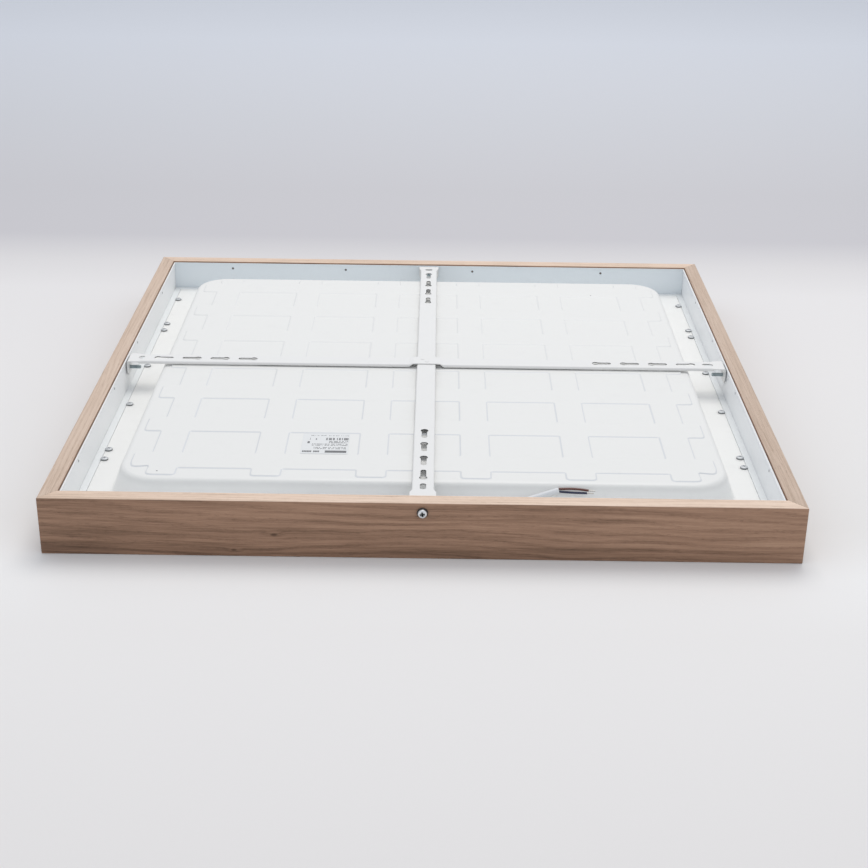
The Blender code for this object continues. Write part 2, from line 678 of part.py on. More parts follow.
def cross_bar(name, over, degrees):
    """One channel bar: a grid bent to its section, flares and end tabs."""
    arm = bar_stations(over)
    rows = [(-a, h, f, g) for a, h, f, g in reversed(arm[1:])] + arm
    columns = 5
    bm = bmesh.new()
    bmesh.ops.create_grid(bm, x_segments=len(rows) - 1, y_segments=columns, size=1.0)
    for vert in bm.verts:
        along, height, flare, flange = rows[round((vert.co.x + 1) / 2 * (len(rows) - 1))]
        column = round((vert.co.y + 1) / 2 * columns)
        half, drop = bar_section(flare, flange)[min(column, columns - column)]
        side = -half if column <= columns // 2 else half
        vert.co = (along, side, BAR_TOP + height - drop)
    bar = add_object(name, bm, "white_steel")
    smooth(bar, 50.0)
    solidify(bar, BAR_SHEET)
    turn_to_side(bar, degrees)
    cutter = add_object(f"cut_{name}", bar_holes(name, degrees), None, CUTTERS)
    turn_to_side(cutter, degrees)
    cut(bar, cutter)


def keyhole(head_towards):
    """A slot's outline along X, its wide head at the - or + end."""
    lean = math.degrees(math.asin(SLOT_HALF / SLOT_HEAD))
    head = (-SLOT_LENGTH / 2 + SLOT_HEAD, 0.0)
    tail = (SLOT_LENGTH / 2 - SLOT_HALF, 0.0)
    outline = arc(head, SLOT_HEAD, lean, 360 - lean, 9) + arc(tail, SLOT_HALF, -90, 90, 5)
    return [(-head_towards * x, y) for x, y in outline]


def oval(length, width, across):
    """A slot with round ends, along X or across it."""
    half = (length - width) / 2
    outline = arc((half, 0.0), width / 2, -90, 90, 6) + arc((-half, 0.0), width / 2, 90, 270, 6)
    return [(-y, x) for x, y in outline] if across else outline


def tab_corner(sign):
    """What is cut from a lower corner of an end tab, to round it."""
    width, drop, size = TAB_HALF, TAB_DROP, TAB_CORNER
    bend = arc((width - size, size - drop), size, -90, 0, 5)
    outline = bend + [(width + MM, size - drop), (width + MM, -drop - MM), (width - size, -drop - MM)]
    return [(sign * x, y) for x, y in outline]


def bar_holes(name, degrees):
    """Everything cut from a bar, in the bar's own frame."""
    low, high = BAR_TOP - 2 * BAR_SHEET, BAR_TOP + MM
    shift = HOLE_SHIFTS[name]
    bm = bmesh.new()
    for arm, side in ((-1, "left"), (1, "right")) if name == "cross_bar_x" else ((-1, "front"), (1, "back")):
        for number in range(SLOTS):
            d = SLOT_FIRST + number * SLOT_PITCH
            head = arm if number == SLOTS - 1 else -arm
            prism(bm, keyhole(head), low, high, Matrix.Translation((arm * d + shift, 0.0, 0.0)))
        across = side in ("left", "back")
        end_slot = oval(END_SLOT_ACROSS if across else END_SLOT_LONG, 2 * END_SLOT_RADIUS, across)
        prism(bm, end_slot, low, high, Matrix.Translation((arm * END_SLOT_D + shift, 0.0, 0.0)))
        out = Matrix.Rotation(math.radians(90 * arm), 4, "Y")
        tab = Matrix.Translation((0.0, 0.0, SCREW_HEIGHTS[side])) @ out
        rod(bm, SCREW_CLEARANCE, BAR_END - 3 * MM, BAR_END + MM, tab)
        face = Matrix.Translation((0.0, 0.0, BAR_TOP)) @ Matrix(
            ((0, 0, arm, 0), (1, 0, 0, 0), (0, 1, 0, 0), (0, 0, 0, 1)))
        for sign in (-1, 1):
            prism(bm, tab_corner(sign), BAR_END - 3 * MM, BAR_END + MM, face)
    back = Matrix.Rotation(math.radians(-degrees), 4, "Z")
    for x, y in RIVET_PLACES:
        spot = back @ Vector((x, y, 0.0))
        rod(bm, RIVET_RADIUS + GAP, low, high + 2 * MM, Matrix.Translation(spot), 8)
    return bm


def cross_rivets():
    """The rivets that join the two bars where they cross."""
    upper = BAR_TOP + CROSSING_RISE + RIVET_LIFT
    lower = BAR_TOP - BAR_SHEET - RIVET_LIFT
    profile = (
        (0.0, lower - RIVET_HEAD_HEIGHT), (RIVET_HEAD, lower - RIVET_HEAD_HEIGHT),
        (RIVET_HEAD, lower), (RIVET_RADIUS, lower), (RIVET_RADIUS, upper), (RIVET_HEAD, upper),
        (RIVET_HEAD * 0.6, upper + RIVET_HEAD_HEIGHT), (0.0, upper + RIVET_HEAD_HEIGHT))
    for number, (x, y) in enumerate(RIVET_PLACES, start=1):
        bm = bmesh.new()
        lathe(bm, profile, Matrix.Translation((x, y, 0.0)), 10)
        smooth(add_object(f"cross_rivet_{number}", bm, "white_steel"))


# ---------------------------------------------------------------- side screws

def side_screw(side, degrees):
    """One M4 screw and its black washer."""
    washer_low = WOOD_SIDE + GAP
    head_low = washer_low + WASHER_THICKNESS + GAP
    top = head_low + HEAD_HEIGHT
    axis = side_axis(SCREW_HEIGHTS[side])
    profile = (
        (0.0, SCREW_TIP), (SCREW_RADIUS - 0.5 * MM, SCREW_TIP),
        (SCREW_RADIUS, SCREW_TIP + 0.7 * MM), (SCREW_RADIUS, head_low),
        (HEAD_RADIUS, head_low), (HEAD_RADIUS, head_low + 0.9 * MM),
        (HEAD_RADIUS - 0.7 * MM, top - 0.5 * MM), (HEAD_RADIUS - 1.9 * MM, top), (0.0, top))
    bm = bmesh.new()
    lathe(bm, profile, axis, 16)
    screw = add_object(f"side_screw_{side}", bm, "zinc")
    smooth(screw)
    turn_to_side(screw, degrees)
    bm = bmesh.new()
    cross_recess(bm, axis @ Matrix.Rotation(0.5, 4, "Z"), top, 2.1 * MM, CROSS_SLOT, 1.3 * MM)
    recess = add_object(f"cut_side_screw_{side}", bm, None, CUTTERS)
    turn_to_side(recess, degrees)
    cut(screw, recess)
    bm = bmesh.new()
    rod(bm, WASHER_RADIUS, washer_low, washer_low + WASHER_THICKNESS, axis, 20)
    washer = add_object(f"side_washer_{side}", bm, "black_plastic")
    smooth(washer)
    turn_to_side(washer, degrees)
    bm = bmesh.new()
    rod(bm, SCREW_CLEARANCE, washer_low - MM, washer_low + 2 * MM, axis, 16)
    eye = add_object(f"cut_washer_{side}", bm, None, CUTTERS)
    turn_to_side(eye, degrees)
    cut(washer, eye)


def main():
    clear_scene()
    for side, degrees in SIDES:
        oak_rail(side, degrees)
        surround_wall(side, degrees)
        panel_rim(side, degrees)
        side_screw(side, degrees)
    back_tray()
    tray_screws("left", -1)
    tray_screws("right", 1)
    diffuser()
    for number, x in enumerate(RIBS, start=1):
        led_strip(number, x)
    driver()
    rating_label()
    cable_gland()
    supply_lead()
    cross_bar("cross_bar_x", True, 0)
    cross_bar("cross_bar_y", False, 90)
    cross_rivets()


main()
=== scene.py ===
# %% [markdown]
# # A square LED panel light in an oak surface frame
#
# The lamp lies on its light side, so its back shows: a white pressed tray with
# raised ribs, a steel surround, four oak rails and the two slotted bars that
# carry it on a ceiling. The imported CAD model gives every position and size.
# This script dresses it: each piece is made again with its bends, domes and
# threads, and gets a procedural finish.
#
# Everything is in metres, +Z up, with the front at -Y. "d" is a distance from
# the centre of the square, measured straight out towards one side.

# %% Load the frame and keep the CAD box
import math

import bmesh
import bpy
from mathutils import Matrix, Vector


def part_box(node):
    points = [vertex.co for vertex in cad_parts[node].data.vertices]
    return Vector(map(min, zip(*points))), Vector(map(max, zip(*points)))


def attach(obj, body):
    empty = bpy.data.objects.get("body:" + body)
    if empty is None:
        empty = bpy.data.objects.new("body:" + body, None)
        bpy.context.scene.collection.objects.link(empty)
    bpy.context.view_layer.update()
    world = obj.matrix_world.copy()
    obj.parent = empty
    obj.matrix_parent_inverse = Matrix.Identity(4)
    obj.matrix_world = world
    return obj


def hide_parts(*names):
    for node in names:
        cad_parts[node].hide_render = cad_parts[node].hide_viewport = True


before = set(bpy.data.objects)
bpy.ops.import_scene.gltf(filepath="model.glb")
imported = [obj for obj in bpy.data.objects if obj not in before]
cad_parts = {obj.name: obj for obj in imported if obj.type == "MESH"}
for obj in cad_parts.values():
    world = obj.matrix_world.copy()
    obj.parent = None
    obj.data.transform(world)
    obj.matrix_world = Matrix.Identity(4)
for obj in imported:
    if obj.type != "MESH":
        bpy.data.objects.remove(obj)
MM = 0.001
SIDES = (("front", 0), ("right", 90), ("back", 180), ("left", 270))
SCREW_HEIGHTS = {side: sum(c.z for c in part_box(f"side_screw_{side}")) / 2 for side, _ in SIDES}


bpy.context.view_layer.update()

# %% [markdown]
# ## The camera
#
# The lamp is seen from the front and a little above, from about a metre and a
# half, through a short telephoto lens. A telephoto view keeps the square from
# splaying out, as a photographer of products would choose. The small shift
# slides the picture on the sensor without turning the camera.

# %% Camera
camera = bpy.data.objects.new("camera", bpy.data.cameras.new("camera"))
bpy.context.scene.collection.objects.link(camera)
camera.location = (0.0086, -1.4350, 0.6266)
camera.rotation_euler = [math.radians(turn) for turn in (65.559, -0.692, 0.363)]
camera.data.lens = 64.06
camera.data.sensor_width = 36.0
camera.data.shift_x = 0.00127
camera.data.shift_y = -0.00518
bpy.context.scene.camera = camera
print("camera", [round(value, 3) for value in camera.location])

# %% [markdown]
# ## Arithmetic for shaders
#
# A node material is a formula, and a formula is easier to read as one. Value
# wraps a socket and overloads the operators, so `1 - mask` adds a Math node by
# itself. Finish is one material: its node() method makes any other node, with
# the settings first and the socket values or links after them, and done() links
# the results to the shader. Colours never pass through Math, which would turn
# them grey: they go through Mix.

# %% Shader helpers
def operator(operation, swapped=False):
    """A method of Value that adds one Math node."""
    def method(self, other):
        pair = (other, self) if swapped else (self, other)
        return self.finish.maths(operation, *pair)
    return method


class Value:
    """A socket that Python arithmetic works on."""

    def __init__(self, finish, socket):
        self.finish, self.socket = finish, socket

    __add__ = __radd__ = operator("ADD")
    __mul__ = __rmul__ = operator("MULTIPLY")
    __sub__ = operator("SUBTRACT")
    __rsub__ = operator("SUBTRACT", swapped=True)
    __truediv__ = operator("DIVIDE")
    __pow__ = operator("POWER")
    __gt__ = operator("GREATER_THAN")
    __lt__ = operator("LESS_THAN")


class Finish:
    """One procedural material."""

    def __init__(self, name, constants):
        self.material = bpy.data.materials.new(name)
        self.material.use_nodes = True
        self.tree = self.material.node_tree
        self.shader = self.tree.nodes["Principled BSDF"]
        for socket, value in constants.items():
            self.shader.inputs[socket].default_value = value
        self.place = self.node("TexCoord", output="Object")
        self.x, self.y, self.z = (
            self.node("SeparateXYZ", inputs={0: self.place}, output=axis) * 1000.0
            for axis in range(3))

    def node(self, kind, settings=None, inputs=None, output=0):
        """Add a node: settings first, then the values or links of its sockets."""
        made = self.tree.nodes.new("ShaderNode" + kind)
        for key, value in (settings or {}).items():
            if key == "stops":
                self.fill(made.color_ramp.elements, value)
            else:
                setattr(made, key, value)
        for key, value in (inputs or {}).items():
            self.feed(made.inputs[key], value)
        return Value(self, made.outputs[output])

    def fill(self, elements, stops):
        """Put a ramp's stops in place."""
        while len(elements) < len(stops):
            elements.new(0.5)
        for element, (position, colour) in zip(elements, stops):
            element.position = position
            element.color = (*colour, 1.0)

    def feed(self, socket, value):
        """Link a Value into a socket, or set a plain number or colour."""
        if isinstance(value, Value):
            self.tree.links.new(value.socket, socket)
        else:
            socket.default_value = value

    def maths(self, operation, *values):
        return self.node("Math", {"operation": operation}, dict(enumerate(values)))

    def join(self, x, y, z):
        """A place from three numbers."""
        return self.node("CombineXYZ", inputs={0: x, 1: y, 2: z})

    def length(self, across, along):
        """How far a place is from a centre, this far across and along from it."""
        return self.maths("SQRT", across ** 2.0 + along ** 2.0)

    def upright(self):
        """How far the surface faces up: the Z of its normal."""
        normal = self.node("NewGeometry", output="Normal")
        return self.node("SeparateXYZ", inputs={0: normal}, output=2)

    def within(self, value, low, high):
        """1 where a value lies between two numbers, and 0 elsewhere."""
        return (value > low) * (value < high)

    def noise(self, place, scale=1.0, detail=2.0, rough=0.5):
        """Soft random values about 0.5."""
        return self.node("TexNoise", inputs={
            "Vector": place, "Scale": scale, "Detail": detail, "Roughness": rough})

    def step(self, value, low, high):
        """0 below low, 1 above high, and smooth between. High may be the lower."""
        return self.node("MapRange", {"interpolation_type": "SMOOTHSTEP"}, {
            "Value": value, "From Min": low, "From Max": high})

    def mix(self, mask, first, second):
        """The first colour where mask is 0 and the second where it is 1."""
        return self.node("Mix", {"data_type": "RGBA"}, {0: mask, 6: first, 7: second}, 2)

    def mix_number(self, mask, first, second):
        """The first number where mask is 0 and the second where it is 1."""
        return mask * (second - first) + first

    def done(self, colour, roughness, relief, distance):
        """Link what varies. Relief from 0 to 1 stands for this distance in metres."""
        bump = self.node("Bump", inputs={"Height": relief, "Distance": distance})
        for socket, value in (("Base Color", colour), ("Roughness", roughness), ("Normal", bump)):
            self.feed(self.shader.inputs[socket], value)
        return self.material


def tint(red, green, blue):
    """A colour for a socket."""
    return (red, green, blue, 1.0)


print("shader helpers ready")

# %% [markdown]
# ## Oak
#
# Oak shows three things at three scales: rings as streaks a few millimetres
# apart, fine fibre along the grain, and short dark pores. A rail's grain runs
# along it, so the pattern is stretched along that axis, and each rail has its
# own seed so that the four don't look cut from one strip. A knot or two in each
# rail pushes the rings aside. Wave or image textures could do it, but rings from
# distorted distances bend like real ones and need no file. The upward edge is
# paler than the faces: a painted sheen of the light from above, stronger on some
# rails than on others, and a mask from the surface's own direction decides where
# it goes. The front rail also carries a painted gradient of light along its run,
# and each rail a painted shade towards its bottom edge.

# %% Oak finish
OAK_FACES = (
    (0.00, (0.110, 0.058, 0.033)), (0.35, (0.258, 0.147, 0.090)),
    (0.62, (0.375, 0.220, 0.141)), (1.00, (0.500, 0.314, 0.208)))
# The same oak under the light from above: the painted sheen on the upward faces.
OAK_LIT_TOPS = (
    (0.00, (0.350, 0.241, 0.169)), (0.35, (0.560, 0.418, 0.316)),
    (0.62, (0.668, 0.514, 0.406)), (1.00, (0.742, 0.596, 0.480)))
RING_PITCH = 3.1                      # millimetres between year rings


def scaled(stops, share):
    """A ramp's stops, lighter or darker."""
    return [(position, [value * share for value in colour]) for position, colour in stops]


def oak(name, axis, seed, top_light_share, knots=(), lean=0.0):
    """Oak with its grain along the X or Y axis. The share scales the painted sheen of light on
    the upward faces, and the colour gets paler by lean per millimetre of its run: a painted
    gradient of light.
    """
    made = Finish(name, {"IOR": 1.45})
    run, depth = (made.x, made.y) if axis == "x" else (made.y, made.x)
    height = made.z

    def grain(lengthwise, sideways, upwards, start=seed, **settings):
        """Noise with a scale for each direction, so it can be drawn out along the rail."""
        place = made.join(run * lengthwise, depth * sideways, height * upwards + start)
        return made.noise(place, **settings)

    shove = 0.0
    heart = 0.0
    for at, up, size in knots:
        far = made.length((run - at) * 0.45, height - up)
        shove = shove + made.step(far, size * 3.5, 0.0) * size
        heart = heart + made.step(far, size, size * 0.2)
    sway = grain(0.006, 0.02, 0.02, detail=1.0) - 0.5
    wiggle = grain(0.025, 0.12, 0.12) - 0.5
    ring = depth * 0.8 + height * 0.36 + run * 0.012 + sway * 10.0 + wiggle * 1.8 + shove
    rings = made.maths("SINE", ring * (2.0 * math.pi / RING_PITCH) + seed) * 0.5 + 0.5
    broad = grain(0.004, 0.07, 0.10, detail=3.0) - 0.5
    lane = made.join(run * 0.010, depth * 0.50, ring * 0.55 + height * 0.25 + seed)
    streak = made.noise(lane, detail=4.0, rough=0.62) - 0.5
    fibre = grain(0.03, 3.0, 3.0, detail=3.0, rough=0.65)
    pores = grain(0.14, 5.0, 5.0, -seed, detail=1.0)
    # Painted shade towards the bottom edge of each rail.
    pore = made.step(pores, 0.40, 0.30) * (0.35 + 0.65 * rings)
    # The term in lean is a painted gradient of light along the run.
    foot_shade = made.step(height, 14.0, 10.0)
    tone = (
        0.56 + broad * 0.60 + streak * 0.95 + (fibre - 0.5) * 1.00
        - rings ** 3.0 * 0.10 - pore * 0.24 - heart * 0.45 + run * lean - foot_shade * 0.17)
    # The upward faces take the lighter ramp: a painted sheen of the light from above.
    faces = made.node("ValToRGB", {"stops": OAK_FACES}, {0: tone})
    lit_tops = made.node("ValToRGB", {"stops": scaled(OAK_LIT_TOPS, top_light_share)}, {0: tone})
    return made.done(
        made.mix(made.step(made.upright(), 0.25, 0.85), faces, lit_tops),
        0.62 - 0.18 * fibre + 0.15 * pore,
        fibre * 0.5 - pore * 0.8 - rings * 0.15, 0.10 * MM)


KNOTS = {        # each is a place along the rail, a height and a radius, in millimetres
    "front": ((-122.0, 20.6, 1.9), (-155.5, 6.0, 1.4)), "right": ((64.0, 31.0, 1.8),),
    "back": ((-40.0, 16.0, 1.6), (171.0, 35.0, 2.0)), "left": ((-98.0, 12.0, 1.9),),
}
# The third number sets the painted sheen on each rail's top, and the front rail's last number its
# painted gradient of light.
OAK = {
    "front": oak("oak_front", "x", 3.1, 1.20, KNOTS["front"], 0.00030),
    "right": oak("oak_right", "y", 11.7, 0.90, KNOTS["right"]),
    "back": oak("oak_back", "x", 23.9, 1.18, KNOTS["back"]),
    "left": oak("oak_left", "y", 41.3, 0.97, KNOTS["left"]),
}
print("oak finishes:", len(OAK))

# %% [markdown]
# ## White finishes
#
# The steel is powder coated: a satin white with the faint orange peel that a
# baked powder leaves, and a little dust in patches. Each wall has its own white,
# painted light and shade for how the light falls on that side. The tray's raised
# part is greyer and the slopes of its ribs cooler, painted shade so that low
# relief still reads under soft light. Pin holes get a painted shade round their
# edge, or they would vanish at this size. The rim is painted aluminium, drawn
# through a die, so its fine lines run along it.

# %% White finishes
PIN_HEIGHT = 43.5 * MM
# The dark edge round each pin hole is painted shade, wider than the hole.
PIN_SHADE_RADIUS = 1.6                        # millimetres, radius of the dark edge
PINS = {                              # the pin holes along each wall, in millimetres
    "front": (-205.0, -55.0, 90.0, 230.0), "right": (-229.0, -58.0, 82.0, 201.0),
    "back": (-202.0, -51.0, 98.0, 231.0), "left": (-210.0, -56.0, 67.0, 228.0),
}


def powder_coat(name, colour, grime, dots=(), raised=None, pins=None):
    """Satin white powder coat. Dots are small dark specks: (x, y, radius).

    Pins are a side's name: its pin holes get a painted shade round their edge, so that they show.
    Near the raised height and above, the colour is greyer, a painted shade that
    evens the lit top with the flange, and it is cooler still on the slopes of the
    ribs, most of all near the front: painted shade that draws the ribs.
    """
    made = Finish(name, {"IOR": 1.5})
    cloud = made.noise(made.place, 9.0, 4.0)
    peel = made.noise(made.place, 1600.0, 2.0)
    dust = made.step(made.noise(made.place, 60.0, 6.0, 0.7), 0.5, 0.75) * 0.25
    colour = made.mix(dust * cloud, tint(*colour), tint(*grime))
    if raised:
        # Painted shade: the raised top is greyer, to even it with the flange below.
        high = made.step(made.z, raised - 8.0, raised - 2.0)
        colour = made.mix(high * 0.42, colour, tint(0.72, 0.72, 0.70))
        # Painted shade on the slopes of the ribs: cooler, and fading from front to back.
        rib = made.step(made.z, raised - 0.5, raised - 0.1)
        rib_slope_shade = made.step(made.upright(), 0.99, 0.90) * rib
        shade_fade = 0.34 - made.step(made.y, -120.0, 60.0) * 0.24
        colour = made.mix(rib_slope_shade * shade_fade, colour, tint(0.53, 0.58, 0.66))
    for x, y, radius in dots:
        far = made.length(made.x - x, made.y - y)
        colour = made.mix(made.step(far, radius, radius * 0.6), colour, tint(0.05, 0.05, 0.05))
    if pins:
        run = made.x if pins in ("front", "back") else made.y
        sense = 1 if pins in ("front", "right") else -1
        for along in PINS[pins]:
            far = made.length(run - sense * along, made.z - PIN_HEIGHT / MM)
            colour = made.mix(made.step(far, PIN_SHADE_RADIUS, 1.0), colour, tint(0.12, 0.12, 0.13))
    return made.done(colour, 0.34 + 0.12 * cloud + 0.1 * dust, peel, 0.015 * MM)


TRAY_WHITE = powder_coat(
    "tray_white", (0.895, 0.892, 0.872), (0.70, 0.70, 0.69),
    dots=((183.0, 215.0, 0.9), (-228.0, -249.0, 0.9)), raised=44.4)
# Painted light and shade: each wall's white is lighter or darker for how the light falls on that
# side.
WALL_LIGHT_AND_SHADE = {
    "front": (0.880, 0.900, 0.910), "right": (0.890, 0.905, 0.920),
    "back": (0.790, 0.845, 0.880), "left": (0.895, 0.900, 0.900),
}
STEEL_WHITE = {
    side: powder_coat(f"steel_white_{side}", colour, (0.74, 0.76, 0.78), pins=side)
    for side, colour in WALL_LIGHT_AND_SHADE.items()}
BAR_WHITE = powder_coat("bar_white", (0.815, 0.812, 0.800), (0.68, 0.69, 0.70))


def rim_white(axis):
    """Painted aluminium with drawing lines along one axis."""
    made = Finish(f"rim_white_{axis}", {"IOR": 1.5})
    run, across = (made.x, made.y) if axis == "x" else (made.y, made.x)
    lines = made.noise(made.join(run * 0.01, across * 5.0, made.z * 5.0), detail=3.0)
    cloud = made.noise(made.place, 12.0, 3.0)
    colour = made.mix(cloud * 0.5, tint(0.84, 0.86, 0.86), tint(0.80, 0.82, 0.83))
    return made.done(colour, 0.26 + 0.14 * lines, lines, 0.02 * MM)


ALONG_X, ALONG_Y = rim_white("x"), rim_white("y")
RIM_WHITE = {"front": ALONG_X, "right": ALONG_Y, "back": ALONG_X, "left": ALONG_Y}
print("white finishes:", TRAY_WHITE.name, BAR_WHITE.name, list(STEEL_WHITE), list(RIM_WHITE))

# %% [markdown]
# ## Metal, plastic and wire finishes
#
# Zinc plating is a little cloudy and blue, with a crystalline spangle far
# smaller than a millimetre. A painted shade darkens the cross in each screw's
# head, and the flanks of the small ones, where little light gets in. The washers
# are moulded, so they carry a fine grain. The lead's sheath is matt PVC with the
# slight ripple of extrusion, its cores are glossier, and the opal plate is satin
# acrylic.

# %% Small finishes
def plating(name, bright, dull, roughness, dark=None):
    """Plated metal, cloudy at two scales. Dark masks a painted shade on a head, where little
    light gets in.
    """
    made = Finish(name, {"Metallic": 1.0})
    cloud = made.noise(made.place, 260.0, 4.0)
    spangle = made.node("TexVoronoi", inputs={"Vector": made.place, "Scale": 2600.0})
    colour = made.mix(cloud, tint(*bright), tint(*dull))
    rough = roughness + 0.18 * cloud
    if dark:
        mask = dark(made)
        colour = made.mix(mask, colour, tint(0.045, 0.060, 0.062))
        rough = rough + 0.3 * mask
    return made.done(colour, rough, spangle, 0.006 * MM)


def side_recess_shade(made):
    """Painted shade inside the cross recess of a side screw's head, below its crown, and less
    dark over the middle of the head.
    """
    across, along = made.maths("ABSOLUTE", made.x), made.maths("ABSOLUTE", made.y)
    aside = made.maths("MINIMUM", across, along)
    out = made.maths("MAXIMUM", across, along)
    fore, right = (SCREW_HEIGHTS[side] / MM for side in ("front", "right"))
    level = made.mix_number(across > 100.0, fore, right)
    radial = made.length(aside, made.z - level)
    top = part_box("side_screw_right")[1].x / MM
    in_head = made.step(radial, 2.75, 2.45) * (out > top - 2.2)
    deep = made.step(out, top - 0.25, top - 0.45) * in_head
    return made.maths("MAXIMUM", deep, made.step(radial, 2.4, 2.0) * 0.45)


def tray_head_shade(made):
    """Painted shade below the crown of a tray screw's head: in its cross and on its flanks."""
    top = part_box("tray_screw_left_1")[1].z / MM
    return made.step(made.z, top - 0.7, top - 1.5) * 0.6


def moulded(name, colour, shade, roughness, grain, scale=900.0):
    """Moulded or extruded plastic with a fine grain."""
    made = Finish(name, {"IOR": 1.48})
    cloud = made.noise(made.place, 70.0, 3.0)
    fine = made.noise(made.place, scale, 2.0)
    colour = made.mix(cloud, tint(*colour), tint(*shade))
    return made.done(colour, roughness + 0.15 * fine, fine, grain)


NICKEL = plating("screw_nickel", (0.86, 0.87, 0.88), (0.72, 0.74, 0.76), 0.22, side_recess_shade)
PAN_NICKEL = plating("pan_nickel", (0.66, 0.67, 0.68), (0.52, 0.54, 0.56), 0.50, tray_head_shade)
ZINC = plating("screw_zinc", (0.52, 0.58, 0.60), (0.30, 0.37, 0.40), 0.26)
TINNED = plating("tinned_copper", (0.66, 0.64, 0.61), (0.48, 0.45, 0.42), 0.3)
WASHER_BLACK = moulded(
    "washer_black", (0.018, 0.018, 0.019), (0.035, 0.035, 0.037), 0.42, 0.03 * MM)
SHEATH_WHITE = moulded(
    "sheath_white", (0.80, 0.81, 0.82), (0.72, 0.73, 0.75), 0.42, 0.03 * MM, 500.0)
GLAND_WHITE = moulded("gland_white", (0.78, 0.79, 0.80), (0.70, 0.71, 0.72), 0.35, 0.02 * MM)
CORE = {
    "brown": moulded("core_brown", (0.170, 0.062, 0.045), (0.110, 0.040, 0.028), 0.30, 0.02 * MM),
    "blue": moulded("core_blue", (0.020, 0.026, 0.070), (0.014, 0.018, 0.045), 0.30, 0.02 * MM),
}
OPAL = moulded("opal_acrylic", (0.90, 0.915, 0.92), (0.87, 0.885, 0.895), 0.38, 0.02 * MM, 1400.0)
print("small finishes ready")

# %% [markdown]
# ## Helpers for shapes
#
# Most pieces here are one of three kinds: a profile drawn along a side and
# mitred at its ends, a profile turned on a lathe, or a sheet bent over a grid.
# These helpers make them as closed meshes. Sharp corners of real sheet and
# timber are never quite sharp, so `rounded` gives a profile small arcs.

# %% Shape helpers
MITRE_GAP = 0.1 * MM


def rounded(points, radius, steps=4, closed=True):
    """Replace the corners of a 2D outline by small arcs."""
    path = [Vector(point) for point in points]
    made = []
    for index, corner in enumerate(path):
        if not closed and index in (0, len(path) - 1):
            made.append(corner)
            continue
        before, after = path[index - 1], path[(index + 1) % len(path)]
        size = radius[index] if isinstance(radius, (list, tuple)) else radius
        start = corner + (before - corner).normalized() * size
        end = corner + (after - corner).normalized() * size
        for number in range(steps + 1):
            t = number / steps
            made.append((1 - t) ** 2 * start + 2 * t * (1 - t) * corner + t ** 2 * end)
    return made


def folded(path, thickness):
    """The outline of a bent sheet from its outer line. The sheet is on its left."""
    inner = []
    for index, point in enumerate(path):
        before = path[max(index - 1, 0)]
        after = path[min(index + 1, len(path) - 1)]
        along = (after - before).normalized()
        inner.append(point + Vector((-along.y, along.x)) * thickness)
    return list(path) + inner[::-1]


def new_object(name, data):
    """An object made from its data and put in the scene."""
    made = bpy.data.objects.new(name, data)
    bpy.context.scene.collection.objects.link(made)
    return made


def add(name, bm, angle=35.0):
    """Turn a bmesh into an object, with its round faces shaded smooth."""
    bmesh.ops.recalc_face_normals(bm, faces=bm.faces)
    mesh = bpy.data.meshes.new(name)
    bm.to_mesh(mesh)
    bm.free()
    mesh.shade_smooth()
    mesh.set_sharp_from_angle(angle=math.radians(angle))
    return new_object(name, mesh)


def settle(piece):
    """Keep what a piece's modifiers make as its mesh."""
    even = piece.modifiers.new("even shading", "WEIGHTED_NORMAL")
    even.keep_sharp = True
    graph = bpy.context.evaluated_depsgraph_get()
    mesh = bpy.data.meshes.new_from_object(piece.evaluated_get(graph))
    piece.modifiers.clear()
    piece.data = mesh


def thicken(piece, thickness, even=False):
    """Give a skin the thickness of its sheet, below its outer face."""
    shell = piece.modifiers.new("sheet", "SOLIDIFY")
    shell.thickness = thickness
    shell.offset = -1.0
    shell.use_even_offset = even


def drill(piece, bm):
    """Cut the shapes in a bmesh out of a piece."""
    cutter = add("cutter", bm)
    step = piece.modifiers.new("cut", "BOOLEAN")
    step.operation = "DIFFERENCE"
    step.solver = "EXACT"
    step.object = cutter
    settle(piece)
    bpy.data.objects.remove(cutter)


def dress(piece, finish, nodes, body="lamp"):
    """Give a piece its finish and its body, and hide the CAD nodes it stands for."""
    piece.data.materials.clear()
    piece.data.materials.append(finish)
    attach(piece, body)
    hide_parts(*nodes)
    return piece


def turned(degrees):
    """Turns a piece made for the front round to another side."""
    return Matrix.Rotation(math.radians(degrees), 4, "Z")


def outward(height):
    """A place whose Z points out of the front face, at a height on the axis."""
    return Matrix.Translation((0.0, 0.0, height)) @ Matrix.Rotation(math.radians(90), 4, "X")


def skin(bm, rings):
    """Close a stack of rings of vertices into a solid."""
    bm.faces.new(rings[0][::-1])
    bm.faces.new(rings[-1])
    for low, high in zip(rings, rings[1:]):
        for i in range(len(low)):
            j = (i + 1) % len(low)
            bm.faces.new((low[i], low[j], high[j], high[i]))


def weave(bm, rows):
    """Fill the space between rows of vertices with faces."""
    for left, right in zip(rows, rows[1:]):
        for corners in zip(left, right, right[1:], left[1:]):
            bm.faces.new(corners)


def mitred(outline):
    """Draw a (d, height) outline along the front, with mitred ends."""
    bm = bmesh.new()
    left, right = (
        [bm.verts.new((end * (d - MITRE_GAP), -d, z)) for d, z in outline] for end in (-1, 1))
    skin(bm, [right, left])
    return bm


def round_point(radius, turn, height):
    """A place this far from the axis, at this turn and height."""
    return Vector((radius * math.cos(turn), radius * math.sin(turn), height))


def surround(name, node, outline, finishes, holes=None):
    """A mitred length on every side. Holes are what is drilled out of each side's."""
    for side, degrees in SIDES:
        length = add(f"{name}_{side}", mitred(outline), 40.0)
        if holes:
            drill(length, holes[side])
        else:
            settle(length)
        length.data.transform(turned(degrees))
        dress(length, finishes[side], [f"{node}_{side}"])


